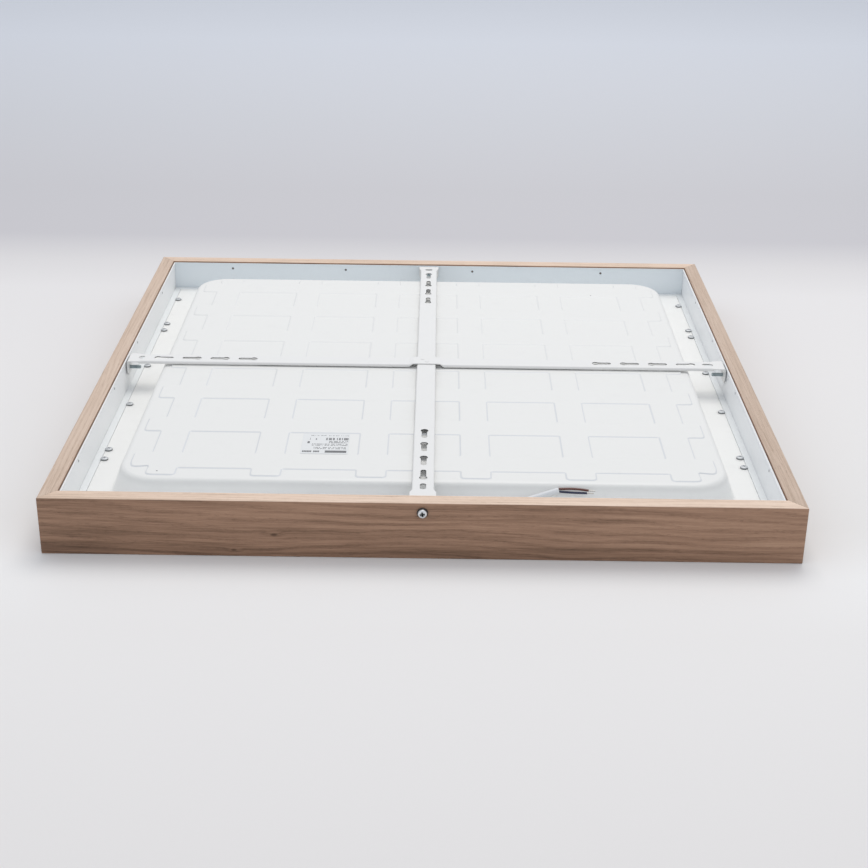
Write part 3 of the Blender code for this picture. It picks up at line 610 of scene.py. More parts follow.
def rod(bm, radius, low, high, place=Matrix(), sides=32):
    """A cylinder along the place's own Z."""
    centre = Matrix.Translation((0.0, 0.0, (low + high) / 2))
    bmesh.ops.create_cone(
        bm, cap_ends=True, segments=sides, radius1=radius, radius2=radius,
        depth=high - low, matrix=place @ centre)


def lathe(bm, profile, place=Matrix(), sides=32):
    """Turn a profile of (radius, height), open or from axis to axis."""
    rings = []
    for radius, height in profile:
        count = sides if radius > 1e-7 else 1
        turns = [2 * math.pi * i / sides for i in range(count)]
        rings.append([bm.verts.new(place @ round_point(radius, t, height)) for t in turns])
    for low, high in zip(rings, rings[1:]):
        for i in range(sides):
            j = (i + 1) % sides
            pairs = ((low, i), (low, j), (high, j), (high, i))
            corners = [ring[k % len(ring)] for ring, k in pairs]
            bm.faces.new(list(dict.fromkeys(corners)))


def prism(bm, outline, low, high, place=Matrix(), mouth=None):
    """A solid over an outline. It may end in another, with as many points."""
    feet = [bm.verts.new(place @ Vector((*point, low))) for point in outline]
    heads = [bm.verts.new(place @ Vector((*point, high))) for point in mouth or outline]
    skin(bm, [feet, heads])


def ease(t):
    """0 to 1 with a soft start and end."""
    t = min(1.0, max(0.0, t))
    return t * t * (3.0 - 2.0 * t)


print("shape helpers ready")

# %% [markdown]
# ## The supply lead
#
# A short lead for the electrician: a white sheath comes out of a gland in the
# tray's front slope, turns against the surround, runs along the gutter and
# climbs the slope again. A Bezier spline with automatic handles passes through
# the same points as the CAD route. One spline is one cord, so its length can be
# measured. The two cores come out of the sheath's end and have bare tips.

# %% Lead route
GLAND_X = -103.0 * MM
GLAND_HEIGHT = 27.0 * MM
SLOPE_FOOT = Vector((269.6 * MM, 22.0 * MM))      # d and height on the tray's slope
SLOPE_TOP = Vector((262.9 * MM, 40.4 * MM))
SHEATH_ROUTE = (
    (-102.3, -279.0, 31.1), (-100.3, -283.6, 32.8), (-97.0, -287.6, 34.2),
    (-92.7, -290.6, 35.1), (-87.6, -292.5, 35.6), (-82.2, -293.2, 35.5),
    (-71.0, -292.8, 34.0), (-59.0, -291.6, 31.2), (-47.0, -290.3, 28.0),
    (-35.0, -289.0, 25.2), (-22.0, -287.5, 23.1), (-8.0, -286.2, 22.2),
    (14.0, -284.6, 22.2), (36.0, -282.4, 23.0), (62.0, -277.4, 26.8),
    (88.0, -270.9, 33.4), (114.5, -265.8, 40.2))
CORE_ROUTES = {
    "brown": ((115.0, -265.0, 41.2), (128.0, -265.2, 41.5), (140.0, -266.6, 40.9)),
    "blue": ((115.0, -266.4, 39.4), (127.0, -268.0, 39.4), (138.5, -269.6, 39.9)),
}
SHEATH_RADIUS = 2.5 * MM
CORE_RADIUS = 0.95 * MM
TIP_LENGTH = 5.5 * MM

share = (GLAND_HEIGHT - SLOPE_FOOT.y) / (SLOPE_TOP.y - SLOPE_FOOT.y)
gland_d = SLOPE_FOOT.lerp(SLOPE_TOP, share).x
lean = math.atan2(SLOPE_FOOT.x - SLOPE_TOP.x, SLOPE_TOP.y - SLOPE_FOOT.y)
gland_place = (
    Matrix.Translation((GLAND_X, -gland_d, GLAND_HEIGHT))
    @ Matrix.Rotation(math.radians(90) - lean, 4, "X"))
lead_exit = gland_place @ Vector((0.0, 0.0, 6.6 * MM))
print("lead leaves at", [round(value, 4) for value in lead_exit])


# %% Lead pieces
def wire(name, node, points, radius, finish):
    """A round wire: one open spline through the points."""
    curve = bpy.data.curves.new(name, "CURVE")
    curve.dimensions = "3D"
    curve.bevel_depth = radius
    curve.bevel_resolution = 6
    curve.resolution_u = 10
    curve.use_fill_caps = True
    spline = curve.splines.new("BEZIER")
    spline.bezier_points.add(len(points) - 1)
    for knot, place in zip(spline.bezier_points, points):
        knot.co = place
        knot.handle_left_type = knot.handle_right_type = "AUTO"
    return dress(new_object(name, curve), finish, [node])


def bare_tip(colour, end, along):
    """Seven tinned strands, twisted together and cut off a little uneven."""
    place = Matrix.Translation(end) @ along.to_track_quat("Z", "Y").to_matrix().to_4x4()
    bm = bmesh.new()
    strand, pitch, rows, sides = 0.17 * MM, 9.0 * MM, 12, 8
    for number in range(7):
        reach = 0.0 if number == 6 else 2 * strand
        start = number * math.pi / 3
        length = TIP_LENGTH - 0.12 * MM * (number % 3)
        rings = []
        for row in range(rows + 1):
            height = -0.6 * MM + (length + 0.6 * MM) * row / rows
            turn = start + 2 * math.pi * height / pitch
            centre = round_point(reach, turn, height)
            edge = [round_point(strand, 2 * math.pi * i / sides, 0.0) for i in range(sides)]
            rings.append([bm.verts.new(place @ (centre + spot)) for spot in edge])
        skin(bm, rings)
    return dress(add(f"strands_{colour}", bm), TINNED, [f"lead_tip_{colour}"])


sheath = wire(
    "white_sheath", "lead_sheath", [lead_exit] + [Vector(p) * MM for p in SHEATH_ROUTE],
    SHEATH_RADIUS, SHEATH_WHITE)
on_lead = []
for colour, route in CORE_ROUTES.items():
    points = [Vector(point) * MM for point in route]
    core = wire(
        f"core_{colour}", f"lead_core_{colour}", points, CORE_RADIUS,
        CORE[colour])
    tip = bare_tip(colour, points[-1], (points[-1] - points[-2]).normalized())
    on_lead += [core, tip]
print("lead pieces:", [sheath.name] + [piece.name for piece in on_lead])

# %% [markdown]
# ## Floor and light
#
# A pale floor, and soft light from above and a little behind, as from a
# large window or a softbox over the table. That is what leaves the front face
# of the oak in shade and throws the bars' shadows forwards. The floor is flat,
# and its colour carries painted light and shade: it is palest by the front rail,
# a painted pool of light that lifts the rail's shadow, and cooler and darker
# behind the lamp, painted shade that stands in for a paper sweep that curves out
# of the light. The world gives the fill that keeps the shadows open.

# %% Floor
FLOOR_LIGHT_TONES = (    # millimetres along Y, and the floor's colour there, with painted light and shade in it
    (-700, (0.80, 0.78, 0.77)), (-430, (0.835, 0.82, 0.81)), (-340, (0.88, 0.875, 0.87)),
    (-250, (0.82, 0.81, 0.80)), (100, (0.80, 0.785, 0.78)), (350, (0.77, 0.755, 0.755)),
    (460, (0.69, 0.675, 0.68)), (570, (0.56, 0.55, 0.575)), (800, (0.555, 0.55, 0.575)),
    (1250, (0.59, 0.60, 0.635)), (2000, (0.67, 0.695, 0.75)))


def floor_finish():
    """Pale paper, with a painted pool of light by the front rail and a cooler, darker painted
    shade far back.
    """
    made = Finish("floor_paper", {"IOR": 1.4})
    grain = made.noise(made.place, 220.0, 3.0)
    near, far = FLOOR_LIGHT_TONES[0][0], FLOOR_LIGHT_TONES[-1][0]
    stops = [((y - near) / (far - near), colour) for y, colour in FLOOR_LIGHT_TONES]
    along = (made.y - near) / (far - near)
    colour = made.node("ValToRGB", {"stops": stops}, {0: along})
    return made.done(colour, 0.75 + 0.1 * grain, grain, 0.05 * MM)


bm = bmesh.new()
bmesh.ops.create_grid(bm, x_segments=24, y_segments=24, size=5.0)
floor = add("floor", bm)
floor.data.materials.append(floor_finish())
print("floor", len(floor.data.polygons), "faces")


# %% Lights
light = bpy.data.lights.new("overhead", "AREA")
light.size, light.energy, light.color = 1.5, 28.4, (1.0, 0.965, 0.915)
softbox = new_object("overhead", light)
softbox.location = (0.28, 1.0, 2.6)
softbox.rotation_euler = (-softbox.location).to_track_quat("-Z", "Y").to_euler()
world = bpy.data.worlds.new("studio")
bpy.context.scene.world = world
world.use_nodes = True
air = world.node_tree.nodes["Background"]
air.inputs["Color"].default_value = tint(0.915, 0.945, 1.0)
air.inputs["Strength"].default_value = 0.77
bpy.context.scene.view_settings.view_transform = "Standard"

# %% [markdown]
# ## Oak rails
#
# Four mitred rails. Each is one profile with its edges eased by a hair, drawn
# along the side and cut at 45 degrees, with a hole for the side screw. A bevel
# modifier on a box would do too, but a profile keeps the mitre plain and flat.

# %% Make the oak rails
CLEARANCE = 2.35 * MM                 # radius of the holes for the side screws
EASED = 0.9 * MM

low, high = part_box("wood_rail_front")
outer, inner = -low.y, -high.y
corners = [(outer, low.z), (outer, high.z), (inner, high.z), (inner, low.z)]
holes = {side: bmesh.new() for side, _ in SIDES}
for side, bm in holes.items():
    rod(bm, CLEARANCE, inner - MM, outer + MM, outward(SCREW_HEIGHTS[side]))
surround("oak_rail", "wood_rail", rounded(corners, EASED), OAK, holes)
print("oak rails: side", round(outer, 4), "height", round(high.z, 4))

# %% [markdown]
# ## Steel surround
#
# Each wall is a sheet folded twice: a narrow lip on top against the oak, and a
# wider one below that holds the panel. The fold has a real bend radius, which
# is what draws the thin bright line along the top. Four small pin holes sit
# high in each wall, at uneven places.

# %% Make the surround walls
SHEET = 0.8 * MM
TOP_LIP = 1.8 * MM
PIN_RADIUS = 0.8 * MM

low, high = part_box("surround_wall_front")
outer, inner = -low.y, -high.y
line = rounded(
    [(inner, low.z), (outer, low.z), (outer, high.z), (outer - TOP_LIP, high.z)],
    [0.0, 1.4 * MM, 1.1 * MM, 0.0], 5, closed=False)
holes = {side: bmesh.new() for side, _ in SIDES}
for side, bm in holes.items():
    rod(bm, CLEARANCE, outer - 3 * MM, outer + MM, outward(SCREW_HEIGHTS[side]))
    for along in PINS[side]:
        spot = Matrix.Translation((along * MM, 0.0, 0.0)) @ outward(PIN_HEIGHT)
        rod(bm, PIN_RADIUS, outer - 3 * MM, outer + MM, spot, 16)
surround(
    "steel_wall", "surround_wall", folded(line, SHEET), STEEL_WHITE, holes)
print("walls: outer", round(outer, 4), "top", round(high.z, 4))

# %% [markdown]
# ## Panel rim and opal plate
#
# The panel's rim is drawn aluminium: a step on top for the tray's flange, and a
# groove inside for the plate. The plate is acrylic with its edges broken. Both
# are closed shapes, so they also work from below, where the light side shows.

# %% Make the rim and the plate
RIM_STEP = 292.8 * MM
GROOVE = (293.99 * MM, 10.6 * MM, 13.2 * MM)        # reach, bottom, top
RIM_EXTRA = 0.4 * MM                                # drawn out to meet the wall

low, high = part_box("panel_rim_front")
outer, inner = -low.y + RIM_EXTRA, -high.y
shelf = high.z - 1.0 * MM
reach, bottom, top = GROOVE
outline = rounded([
    (outer, low.z), (outer, high.z), (RIM_STEP, high.z), (RIM_STEP, shelf), (inner, shelf),
    (inner, top), (reach, top), (reach, bottom), (inner, bottom), (inner, low.z)],
    [0.28 * MM, 0.10 * MM] + [0.28 * MM] * 8, 2)
surround("rim", "panel_rim", outline, RIM_WHITE)

low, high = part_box("diffuser")
half, edge = high.x, 0.4 * MM
square = ((-1, -1), (1, -1), (1, 1), (-1, 1))
levels = (
    (half - edge, low.z), (half, low.z + edge), (half, high.z - edge), (half - edge, high.z))
bm = bmesh.new()
skin(bm, [[bm.verts.new((x * reach, y * reach, z)) for x, y in square] for reach, z in levels])
plate = add("opal_plate", bm)
dress(plate, OPAL, ["diffuser"])
print("rim outer", round(outer, 4), "plate half width", round(half, 4))

# %% [markdown]
# ## The pressed back tray
#
# One sheet of steel, pressed in one stroke: a flat flange, a steep slope with
# round corners, and a flat top where a grid of low ribs stands up a millimetre.
# The ribs meet as a lattice, and the pads between them stay low. The mesh is a
# grid whose lines lie only where the sheet bends, several to each bend, so each
# fold is a soft curve and the flats stay flat. A displaced plane would need far
# more faces and would still blur the folds.

# %% Tray heights
low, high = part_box("back_tray")
FLANGE = high.x
FLANGE_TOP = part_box("panel_rim_front")[1].z
RIB_TOP = high.z
RIB_RAISE = 1.0 * MM
TRAY_TOP = RIB_TOP - RIB_RAISE
RIB_SLOPE = 1.8 * MM
RIB_ROUND = 3.0 * MM
TRAY_SHEET = 0.7 * MM
RIBS = [(i - 2.5) * 90.0 * MM for i in range(6)]
CROSS_RIBS = [(i - 3) * 75.5 * MM for i in range(7)]
RIB_HALF, CROSS_HALF = 12.0 * MM, 14.0 * MM
RIB_REACH, CROSS_REACH = 256.0 * MM, 254.2 * MM
CORNER = 229.8 * MM
BEND_START = 272.8 * MM
# The grid's lines by a rib's edge, from its flat top out past its foot.
BAND = [t * MM for t in (-2.6, -1.3, -0.5, 0.0, 0.45, 0.9, 1.35, 1.8, 3.0)]

slope_in = SLOPE_TOP.x - (TRAY_TOP - SLOPE_TOP.y) * math.tan(lean)
slope_out = SLOPE_FOOT.x + (SLOPE_FOOT.y - FLANGE_TOP) * math.tan(lean)
profile = rounded(
    [(FLANGE, FLANGE_TOP), (slope_out, FLANGE_TOP), (slope_in, TRAY_TOP), (0.0, TRAY_TOP)],
    [0.0, 2.2 * MM, 4.2 * MM, 0.0], 7, closed=False)[::-1]


def slope_height(d):
    """Height of the tray without ribs, between points of its profile."""
    for (d0, z0), (d1, z1) in zip(profile, profile[1:]):
        if d <= d1:
            return z0 + (z1 - z0) * (d - d0) / (d1 - d0)
    return FLANGE_TOP


def outside(across, along, half, limit):
    """How far a place lies outside a rib's flat top, with round corners."""
    q = Vector((across - half + RIB_ROUND, along - limit + RIB_SLOPE + RIB_ROUND))
    beyond = Vector((max(q.x, 0.0), max(q.y, 0.0))).length
    return beyond + min(max(q), 0.0) - RIB_ROUND


def tray_height(x, y):
    """Height of the sheet over a place in its flat plan."""
    long_rib = outside(min(abs(x - c) for c in RIBS), abs(y), RIB_HALF, RIB_REACH)
    cross_rib = outside(min(abs(y - c) for c in CROSS_RIBS), abs(x), CROSS_HALF, CROSS_REACH)
    share = min(1.0, max(0.0, 0.5 + 0.5 * (cross_rib - long_rib) / RIB_ROUND))
    joined = cross_rib + (long_rib - cross_rib) * share - RIB_ROUND * share * (1.0 - share)
    return slope_height(max(abs(x), abs(y))) + RIB_RAISE * ease(1.0 - joined / RIB_SLOPE)


def round_corner(x, y):
    """Bend the square rings of the plan round the tray's corners."""
    over = Vector((abs(x) - CORNER, abs(y) - CORNER))
    if max(abs(x), abs(y)) > BEND_START or min(over) <= 0.0:
        return x, y
    over *= max(over) / over.length
    return math.copysign(CORNER + over.x, x), math.copysign(CORNER + over.y, y)


print("tray top", round(TRAY_TOP, 4), "profile points", len(profile))


# %% Make the tray
def lines(centres, half, limit):
    """Where the grid's lines lie along one axis, on both sides of zero."""
    places = [point.x for point in profile if point.x > CORNER] + [FLANGE, CORNER]
    places += [CORNER + 4.0 * MM * i for i in range(1, 7)]
    places += [limit - RIB_SLOPE + t for t in BAND[:-1]]
    for centre in centres:
        places += [abs(centre + end * (half + t)) for end in (-1, 1) for t in BAND]
    kept = []
    for place in sorted(places):
        if not kept or place - kept[-1] > 0.2 * MM:
            kept.append(place)
    return [-place for place in reversed(kept) if place > 0.0] + kept


xs = lines(RIBS, RIB_HALF, CROSS_REACH)
ys = lines(CROSS_RIBS, CROSS_HALF, RIB_REACH)
bm = bmesh.new()
weave(bm, [
    [bm.verts.new((*round_corner(x, y), tray_height(x, y))) for y in ys] for x in xs])
tray = add("pressed_tray", bm, 60.0)
thicken(tray, TRAY_SHEET)
settle(tray)
dress(tray, TRAY_WHITE, ["back_tray"])
print("tray lines", len(xs), "by", len(ys), "faces", len(tray.data.polygons))

# %% [markdown]
# ## Screws
#
# Two kinds: small pan heads that hold the tray's flange to the rim, and longer
# ones through the oak into the ceiling cross. A dome turned on the lathe and a
# tapered cross cut into it read as a real head even when tiny. The long ones
# slide out, so their thread is modelled as a true helix, because it shows.

# %% Screw helpers
def cross_outline(arm, half):
    """A plus sign, as an outline."""
    return [
        (half, half), (half, arm), (-half, arm), (-half, half), (-arm, half), (-arm, -half),
        (-half, -half), (-half, -arm), (half, -arm), (half, -half), (arm, -half), (arm, half)]


def dome(radius, base, top, rim=0.35, steps=7):
    """The profile of a pan head from its edge to its crown."""
    height = top - base
    points = [(radius, base), (radius, base + rim * height)]
    for i in range(1, steps + 1):
        t = math.radians(90 * i / steps)
        across = radius * math.cos(t) ** 0.6 if i < steps else 0.0
        points.append((across, base + height * (rim + (1 - rim) * math.sin(t))))
    return points


def cut_recess(screw, place, top, arm, half, depth):
    """Cut a tapered cross recess into a head."""
    bm = bmesh.new()
    over = 0.6 * MM
    bottom = cross_outline(arm * 0.55, half * 0.6)
    mouth = cross_outline(arm * (1 + 0.45 * over / depth), half * (1 + 0.4 * over / depth))
    prism(bm, bottom, top - depth, top + over, place, mouth)
    drill(screw, bm)


def thread(bm, radius, depth, pitch, low, high, place, sides=20, rows=5):
    """A threaded shank, closed at its point: radius follows a helix."""
    rings = []
    count = round((high - low) / pitch * rows)
    for row in range(count + 1):
        height = low + (high - low) * row / count
        point = min(1.0, (height - low) / (1.2 * pitch))
        ring = []
        for i in range(sides):
            phase = (height / pitch - i / sides) % 1.0
            crest = abs(2 * phase - 1)
            size = (radius - depth * (1 - crest)) * (0.72 + 0.28 * point)
            spot = round_point(size, 2 * math.pi * i / sides, height)
            ring.append(bm.verts.new(place @ spot))
        rings.append(ring)
    skin(bm, rings)


print("screw helpers ready")

# %% Tray screws
PAN_RADIUS, PAN_HEIGHT = 3.5 * MM, 1.9 * MM

for side in ("left", "right"):
    for number in range(1, 9):
        node = f"tray_screw_{side}_{number}"
        low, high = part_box(node)
        middle, top = (low + high) / 2, high.z
        base = top - PAN_HEIGHT
        turn = Matrix.Rotation(0.7 * number, 4, "Z")
        place = Matrix.Translation((middle.x, middle.y, 0.0)) @ turn
        bm = bmesh.new()
        shank = [(0.0, low.z), (1.2 * MM, low.z), (1.5 * MM, low.z + 0.4 * MM), (1.5 * MM, base)]
        lathe(bm, shank + dome(PAN_RADIUS, base, top), place, 28)
        screw = add(f"pan_screw_{side}_{number}", bm, 50.0)
        cut_recess(screw, place, top, 1.75 * MM, 0.42 * MM, 1.1 * MM)
        dress(screw, PAN_NICKEL, [node])
print("tray screws:", number * 2)

# %% [markdown]
# ## Side screws and washers
#
# One screw and one black washer on each side. They ride on their own bodies,
# because they slide out together. The head is a pan head with a deep cross, the
# washer a moulded ring with a rounded edge.

# %% Make the side screws
HEAD_HEIGHT = 2.3 * MM
CROSS_TURN = 0.15

low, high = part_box("side_screw_front")
tip, top, radius = -high.y, -low.y, high.x
base = top - HEAD_HEIGHT
low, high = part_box("side_washer_front")
under, over, wide, eye = -high.y, -low.y, high.x, CLEARANCE
ring = rounded([(eye, under), (wide, under), (wide, over), (eye, over)], 0.3 * MM, 3)
for side, degrees in SIDES:
    place = outward(SCREW_HEIGHTS[side]) @ Matrix.Rotation(CROSS_TURN, 4, "Z")
    bm = bmesh.new()
    lathe(bm, [(0.0, base)] + dome(radius, base, top, 0.3, 9), place, 48)
    screw = add(f"m4_screw_{side}", bm, 50.0)
    cut_recess(screw, place, top, 2.3 * MM, 0.55 * MM, 1.6 * MM)
    bm = bmesh.new()
    thread(bm, 2.0 * MM, 0.36 * MM, 0.7 * MM, tip, base + 0.2 * MM, place)
    shank = add("shank", bm, 60.0)
    for mesh in (screw.data, shank.data):
        mesh.transform(turned(degrees))
    dress(screw, NICKEL, [f"side_screw_{side}"], f"side_screw_{side}")
    shank.name = f"m4_thread_{side}"
    dress(shank, ZINC, [f"side_screw_{side}"], f"side_screw_{side}")

    bm = bmesh.new()
    lathe(bm, ring + ring[:1], outward(SCREW_HEIGHTS[side]), 48)
    bmesh.ops.remove_doubles(bm, verts=bm.verts, dist=1e-7)
    washer = add(f"washer_{side}", bm)
    washer.data.transform(turned(degrees))
    dress(washer, WASHER_BLACK, [f"side_washer_{side}"], f"side_screw_{side}")
print("side screws: tip", round(tip, 4), "top", round(top, 4))

# %% [markdown]
# ## The ceiling cross
#
# Two bars of bent sheet: a shallow channel with rounded shoulders that flares
# into a flat end and turns down into a tab. One bar steps up over the other
# where they cross. Each is a grid of rows along the bar and columns across it,
# so both the joggle and the flare are just functions of the distance. The
# keyhole slots are then punched out, which is how the real one is made too.

# %% Bar shape
BAR_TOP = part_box("cross_bar_y")[1].z
BAR_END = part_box("cross_bar_x")[1].x
BAR_SHEET = 1.0 * MM
BAR_HALF, TAB_HALF = 9.25 * MM, 11.2 * MM
BAR_DEPTH, SHOULDER = 3.0 * MM, 1.4 * MM
TAB_DROP = BAR_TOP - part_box("cross_bar_x")[0].z
TAB_BEND = 1.8 * MM
TAB_CORNER = 6.0 * MM
FLARE_START, FLARE = 283.5 * MM, 7.2 * MM
JOGGLE_START, JOGGLE = 12.0 * MM, 6.0 * MM
CROSSING = 0.2                        # share of the flange left where the bars cross
PINCH = 0.5 * MM                      # how much narrower a bar is without its flange
EIGHTHS = [i / 8 for i in range(9)]
STEP_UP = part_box("cross_bar_x")[1].z - BAR_TOP


def bar_rows(over):
    """Rows along one arm: distance, height, flare and flange share."""
    rows = []
    for d, t in [(0.0, 0.0)] + [(JOGGLE_START + JOGGLE * t, t) for t in EIGHTHS]:
        rise, flange = STEP_UP * (1 - ease(t)), CROSSING + (1 - CROSSING) * ease(t)
        rows.append((d, rise, 0.0, flange) if over else (d, 0.0, 0.0, 1.0))
    rows += [(FLARE_START + FLARE * t, 0.0, ease(t), 1 - ease(t)) for t in EIGHTHS]
    for t in EIGHTHS:
        turn = math.radians(90 * t)
        reach = BAR_END - TAB_BEND * (1 - math.sin(turn))
        rows.append((reach, -TAB_BEND * (1 - math.cos(turn)), 1.0, 0.0))
    return rows + [(BAR_END, -TAB_DROP, 1.0, 0.0)]


def bar_columns(flare, flange):
    """Offset and drop across half a bar, from the flange's edge inwards."""
    half = BAR_HALF + flare * (TAB_HALF - BAR_HALF)
    reach = half - PINCH * (1 - flange)
    flat = reach - SHOULDER
    across = [(half, BAR_DEPTH * flange)]
    for degrees in range(90, -15, -15):
        turn = math.radians(degrees)
        drop = SHOULDER * (1 - math.cos(turn)) * flange
        across.append((flat + SHOULDER * math.sin(turn), drop))
    return across


def bar_grid(over):
    """A bar's outer face as a grid along X."""
    arm = bar_rows(over)
    rows = [(-d, h, f, g) for d, h, f, g in reversed(arm[1:])] + arm
    bm = bmesh.new()
    made = []
    for along, height, flare, flange in rows:
        half = bar_columns(flare, flange)
        across = [(-offset, drop) for offset, drop in half] + half[::-1]
        top = BAR_TOP + height
        made.append([bm.verts.new((along, y, top - drop)) for y, drop in across])
    weave(bm, made)
    return bm


print("bar top", round(BAR_TOP, 4), "end", round(BAR_END, 4), "step up", round(STEP_UP, 4))


# %% Bar holes
KEYHOLE_START, KEYHOLE_PITCH = 176.8 * MM, 28.0 * MM
KEYHOLE_LENGTH, KEYHOLE_HALF, KEYHOLE_HEAD = 19.0 * MM, 2.5 * MM, 3.5 * MM
SLOT_PLACE, SLOT_RADIUS = 283.0 * MM, 2.7 * MM
SLOT_LONG, SLOT_ACROSS = 10.8 * MM, 8.6 * MM
RIVET_HOLE = 1.3 * MM


def arc(centre, radius, start, end, steps):
    """Points round part of a circle, angles in degrees."""
    turns = [math.radians(start + (end - start) * i / steps) for i in range(steps + 1)]
    return [(centre + radius * math.cos(t), radius * math.sin(t)) for t in turns]


def keyhole(head_towards):
    """A slot with a wide head at its - or + end."""
    half, head = KEYHOLE_HALF, KEYHOLE_HEAD
    open_angle = math.degrees(math.asin(half / head))
    outline = arc(head - KEYHOLE_LENGTH / 2, head, open_angle, 360 - open_angle, 24)
    outline += arc(KEYHOLE_LENGTH / 2 - half, half, -90, 90, 14)
    outline = [(-head_towards * x, y) for x, y in outline]
    return outline if head_towards < 0 else outline[::-1]


def oval(length, across):
    """An end slot with round ends, along the bar or across it."""
    half = length / 2 - SLOT_RADIUS
    outline = arc(half, SLOT_RADIUS, -90, 90, 12) + arc(-half, SLOT_RADIUS, 90, 270, 12)
    return [(-y, x) for x, y in outline] if across else outline


def tab_corner(sign):
    """What is cut from a lower corner of an end tab, to round it."""
    start, level = TAB_HALF - TAB_CORNER, TAB_CORNER - TAB_DROP
    outline = [(start + x, level + y) for x, y in arc(0.0, TAB_CORNER, -90, 0, 10)]
    below = -TAB_DROP - MM
    outline += [(TAB_HALF + MM, level), (TAB_HALF + MM, below), (start, below)]
    return [(sign * x, y) for x, y in outline][::sign]


def bar_holes(rivets, sides, shift):
    """Everything punched out of a bar, in the bar's own frame."""
    bm = bmesh.new()
    low, high = BAR_TOP - 2 * MM, BAR_TOP + MM
    for arm, side in zip((-1, 1), sides):
        for number in range(4):
            d = KEYHOLE_START + KEYHOLE_PITCH * number
            spot = Matrix.Translation((arm * d + shift, 0.0, 0.0))
            prism(bm, keyhole(arm if number == 3 else -arm), low, high, spot)
        across = side in ("left", "back")
        spot = Matrix.Translation((arm * SLOT_PLACE + shift, 0.0, 0.0))
        prism(bm, oval(SLOT_ACROSS if across else SLOT_LONG, across), low, high, spot)
        out = Matrix.Rotation(math.radians(90 * arm), 4, "Y")
        out = Matrix.Translation((0.0, 0.0, SCREW_HEIGHTS[side])) @ out
        rod(bm, CLEARANCE, BAR_END - 4 * MM, BAR_END + MM, out)
        face = Matrix.Translation((0.0, 0.0, BAR_TOP)) @ Matrix(
            ((0, 0, arm, 0), (1, 0, 0, 0), (0, 1, 0, 0), (0, 0, 0, 1)))
        for sign in (-1, 1):
            prism(bm, tab_corner(sign), BAR_END - 4 * MM, BAR_END + MM, face)
    for spot in rivets:
        place = Matrix.Translation((spot.x, spot.y, 0.0))
        rod(bm, RIVET_HOLE, low, high + 2 * MM, place, 16)
    return bm


rivet_spots = []
for number in (1, 2):
    low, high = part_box(f"cross_rivet_{number}")
    rivet_spots.append((low + high) / 2)
BARS = (
    ("cross_bar_x", True, 0, ("left", "right"), -1.7 * MM),
    ("cross_bar_y", False, 90, ("front", "back"), 3.0 * MM))
for name, over, degrees, sides, shift in BARS:
    bar = add(f"slotted_{name[-1]}", bar_grid(over), 60.0)
    thicken(bar, BAR_SHEET, even=True)
    drill(bar, bar_holes([turned(-degrees) @ spot for spot in rivet_spots], sides, shift))
    bar.data.transform(turned(degrees))
    dress(bar, BAR_WHITE, [name])
    print(name, "faces", len(bar.data.polygons))

# %% Rivets
for number, spot in enumerate(rivet_spots, start=1):
    low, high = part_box(f"cross_rivet_{number}")
    head = high.x - spot.x
    under = low.z + 0.4 * MM
    neck = high.z - 0.45 * MM
    stem = [(0.0, low.z), (head * 0.8, low.z), (head, under), (MM, under), (MM, neck)]
    place = Matrix.Translation((spot.x, spot.y, 0.0))
    bm = bmesh.new()
    lathe(bm, stem + dome(head, neck, high.z, 0.25, 5), place, 28)
    rivet = add(f"rivet_{number}", bm, 50.0)
    dress(rivet, BAR_WHITE, [f"cross_rivet_{number}"])
print("rivets:", len(rivet_spots))

# %% [markdown]
# ## Gland
#
# The strain relief is a moulded grommet in the tray's slope: a flange, a
# tapered nose with three grooves that let it flex, and a bead inside that locks
# it in its hole. The gutter leaves no room for a longer one.

# %% Make the gland
beads = [(0.0, -2.2), (4.2, -2.2), (4.2, -1.1), (3.2, -1.1), (3.2, 0.3), (4.7, 0.3), (4.9, 0.6),
         (4.9, 1.4), (4.5, 1.8), (4.1, 1.9), (3.8, 2.5), (4.1, 2.9), (4.0, 3.3), (3.6, 3.7),
         (3.8, 4.1), (3.7, 4.5), (3.4, 4.9), (3.5, 5.3), (3.4, 5.8), (3.1, 6.0), (0.0, 6.0)]
bm = bmesh.new()
lathe(bm, [(radius * MM, height * MM) for radius, height in beads], gland_place, 40)
gland = add("grommet", bm, 50.0)
dress(gland, GLAND_WHITE, ["cable_gland"])
print("gland at", [round(value, 4) for value in gland_place.translation])

# %% [markdown]
# ## Rating label
#
# A paper label with printed rows. The print is generic: bars of random length
# that read as small type from a distance, and one dark block. It is painted by
# the material from the label's own millimetres, so there is no picture and no
# real word. The sheet itself has rounded corners.

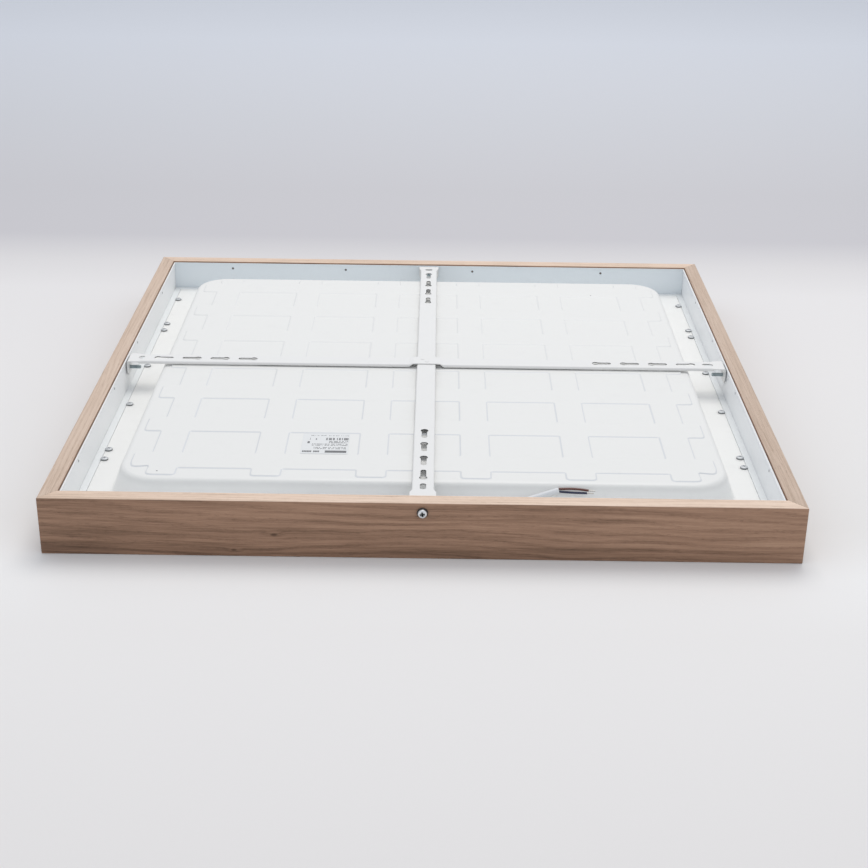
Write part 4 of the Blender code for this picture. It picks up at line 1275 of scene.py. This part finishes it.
# %% Label finish
def label_finish(left, front):
    """Paper with rows of print. Places are from the label's front left corner."""
    made = Finish("label_paper", {"IOR": 1.45})
    across, up = made.x - left, made.y - front
    ink = 0.0
    rows = (                       # from, to, across and up; letter pitch; ink kept
        (7.0, 41.0, 37.6, 38.6, 0.55, 0.35), (21.0, 41.0, 28.4, 33.4, 0.9, 0.25),
        (2.0, 7.0, 28.6, 33.2, 2.2, 0.5), (9.0, 14.5, 29.0, 32.0, 1.3, 0.4),
        (24.0, 41.0, 25.0, 26.6, 0.6, 0.3), (24.0, 41.0, 22.4, 24.0, 0.6, 0.3),
        (2.0, 7.0, 21.4, 25.8, 2.4, 0.5), (9.0, 41.0, 19.4, 20.8, 0.6, 0.3),
        (9.0, 41.0, 16.8, 18.2, 0.6, 0.3), (1.0, 8.0, 14.6, 18.2, 3.2, 0.5),
        (11.0, 40.0, 12.2, 13.6, 0.6, 0.3), (11.0, 40.0, 9.8, 11.2, 0.6, 0.35),
        (1.0, 16.5, 3.0, 6.4, 1.4, 0.2), (21.5, 40.5, 2.2, 6.8, 9.0, -1.0))
    for number, (x0, x1, y0, y1, pitch, kept) in enumerate(rows):
        cell = made.maths("FLOOR", across / pitch)
        part = made.maths("FRACT", across / pitch)
        chance = made.node(
            "TexWhiteNoise", {"noise_dimensions": "1D"}, {"W": cell + 31.0 * number})
        letter = (chance > kept) * (part < 0.86) if kept > 0 else 1.0
        row = made.within(across, x0, x1) * made.within(up, y0, y1) * letter
        ink = made.maths("MAXIMUM", ink, row)
    fibre = made.noise(made.place, 900.0, 3.0)
    paper = made.mix(fibre, tint(0.80, 0.81, 0.81), tint(0.74, 0.75, 0.755))
    colour = made.mix(ink * 0.9, paper, tint(0.10, 0.10, 0.105))
    return made.done(colour, 0.5 + 0.1 * fibre - 0.1 * ink, fibre, 0.01 * MM)


# %% Make the label
low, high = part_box("rating_label")
corners = [(low.x, low.y), (high.x, low.y), (high.x, high.y), (low.x, high.y)]
outline = rounded(corners, 1.5 * MM, 5)
bm = bmesh.new()
prism(bm, outline, low.z, high.z)
label = add("printed_label", bm)
dress(label, label_finish(low.x / MM, low.y / MM), ["rating_label"])
print("label", round((high.x - low.x) / MM, 1), "mm wide")

# %% [markdown]
# ## Inside the panel
#
# The LED strips and the driver never show, because tray and opal plate close
# over them. Their CAD shapes stay, with real finishes: white lacquer with
# solder pads, green laminate, printed sleeves.

# %% Inside finishes
def strip_finish(name):
    """White lacquered board with a row of tinned pads."""
    made = Finish(name, {"IOR": 1.5})
    along = made.maths("FRACT", made.y / 25.0)
    pad = made.within(along, 0.42, 0.58)
    cloud = made.noise(made.place, 80.0, 3.0)
    colour = made.mix(pad, tint(0.84, 0.85, 0.84), tint(0.55, 0.54, 0.52))
    return made.done(colour, 0.4 + 0.2 * cloud, cloud, 0.02 * MM)


def board_finish(name):
    """Green laminate with copper tracks under the mask."""
    made = Finish(name, {"IOR": 1.5})
    track = made.node(
        "TexVoronoi", {"feature": "DISTANCE_TO_EDGE"}, {"Vector": made.place, "Scale": 160.0})
    line = made.step(track, 0.10, 0.05)
    colour = made.mix(line, tint(0.03, 0.20, 0.09), tint(0.05, 0.30, 0.12))
    return made.done(colour, 0.35 + 0.15 * line, line, 0.03 * MM)


STRIP = strip_finish("strip_board")
INSIDE = {f"led_strip_{number}": STRIP for number in range(1, 7)}
INSIDE["driver_case"] = powder_coat("case_white", (0.82, 0.83, 0.83), (0.6, 0.6, 0.6))
INSIDE["driver_board"] = board_finish("driver_laminate")
SLEEVE = moulded("capacitor_sleeve", (0.04, 0.05, 0.10), (0.07, 0.08, 0.13), 0.3, 0.01 * MM)
INSIDE["driver_capacitor_1"] = INSIDE["driver_capacitor_2"] = SLEEVE
for node, finish in INSIDE.items():
    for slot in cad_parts[node].material_slots:
        slot.material = finish
print("inside nodes finished:", len(INSIDE))
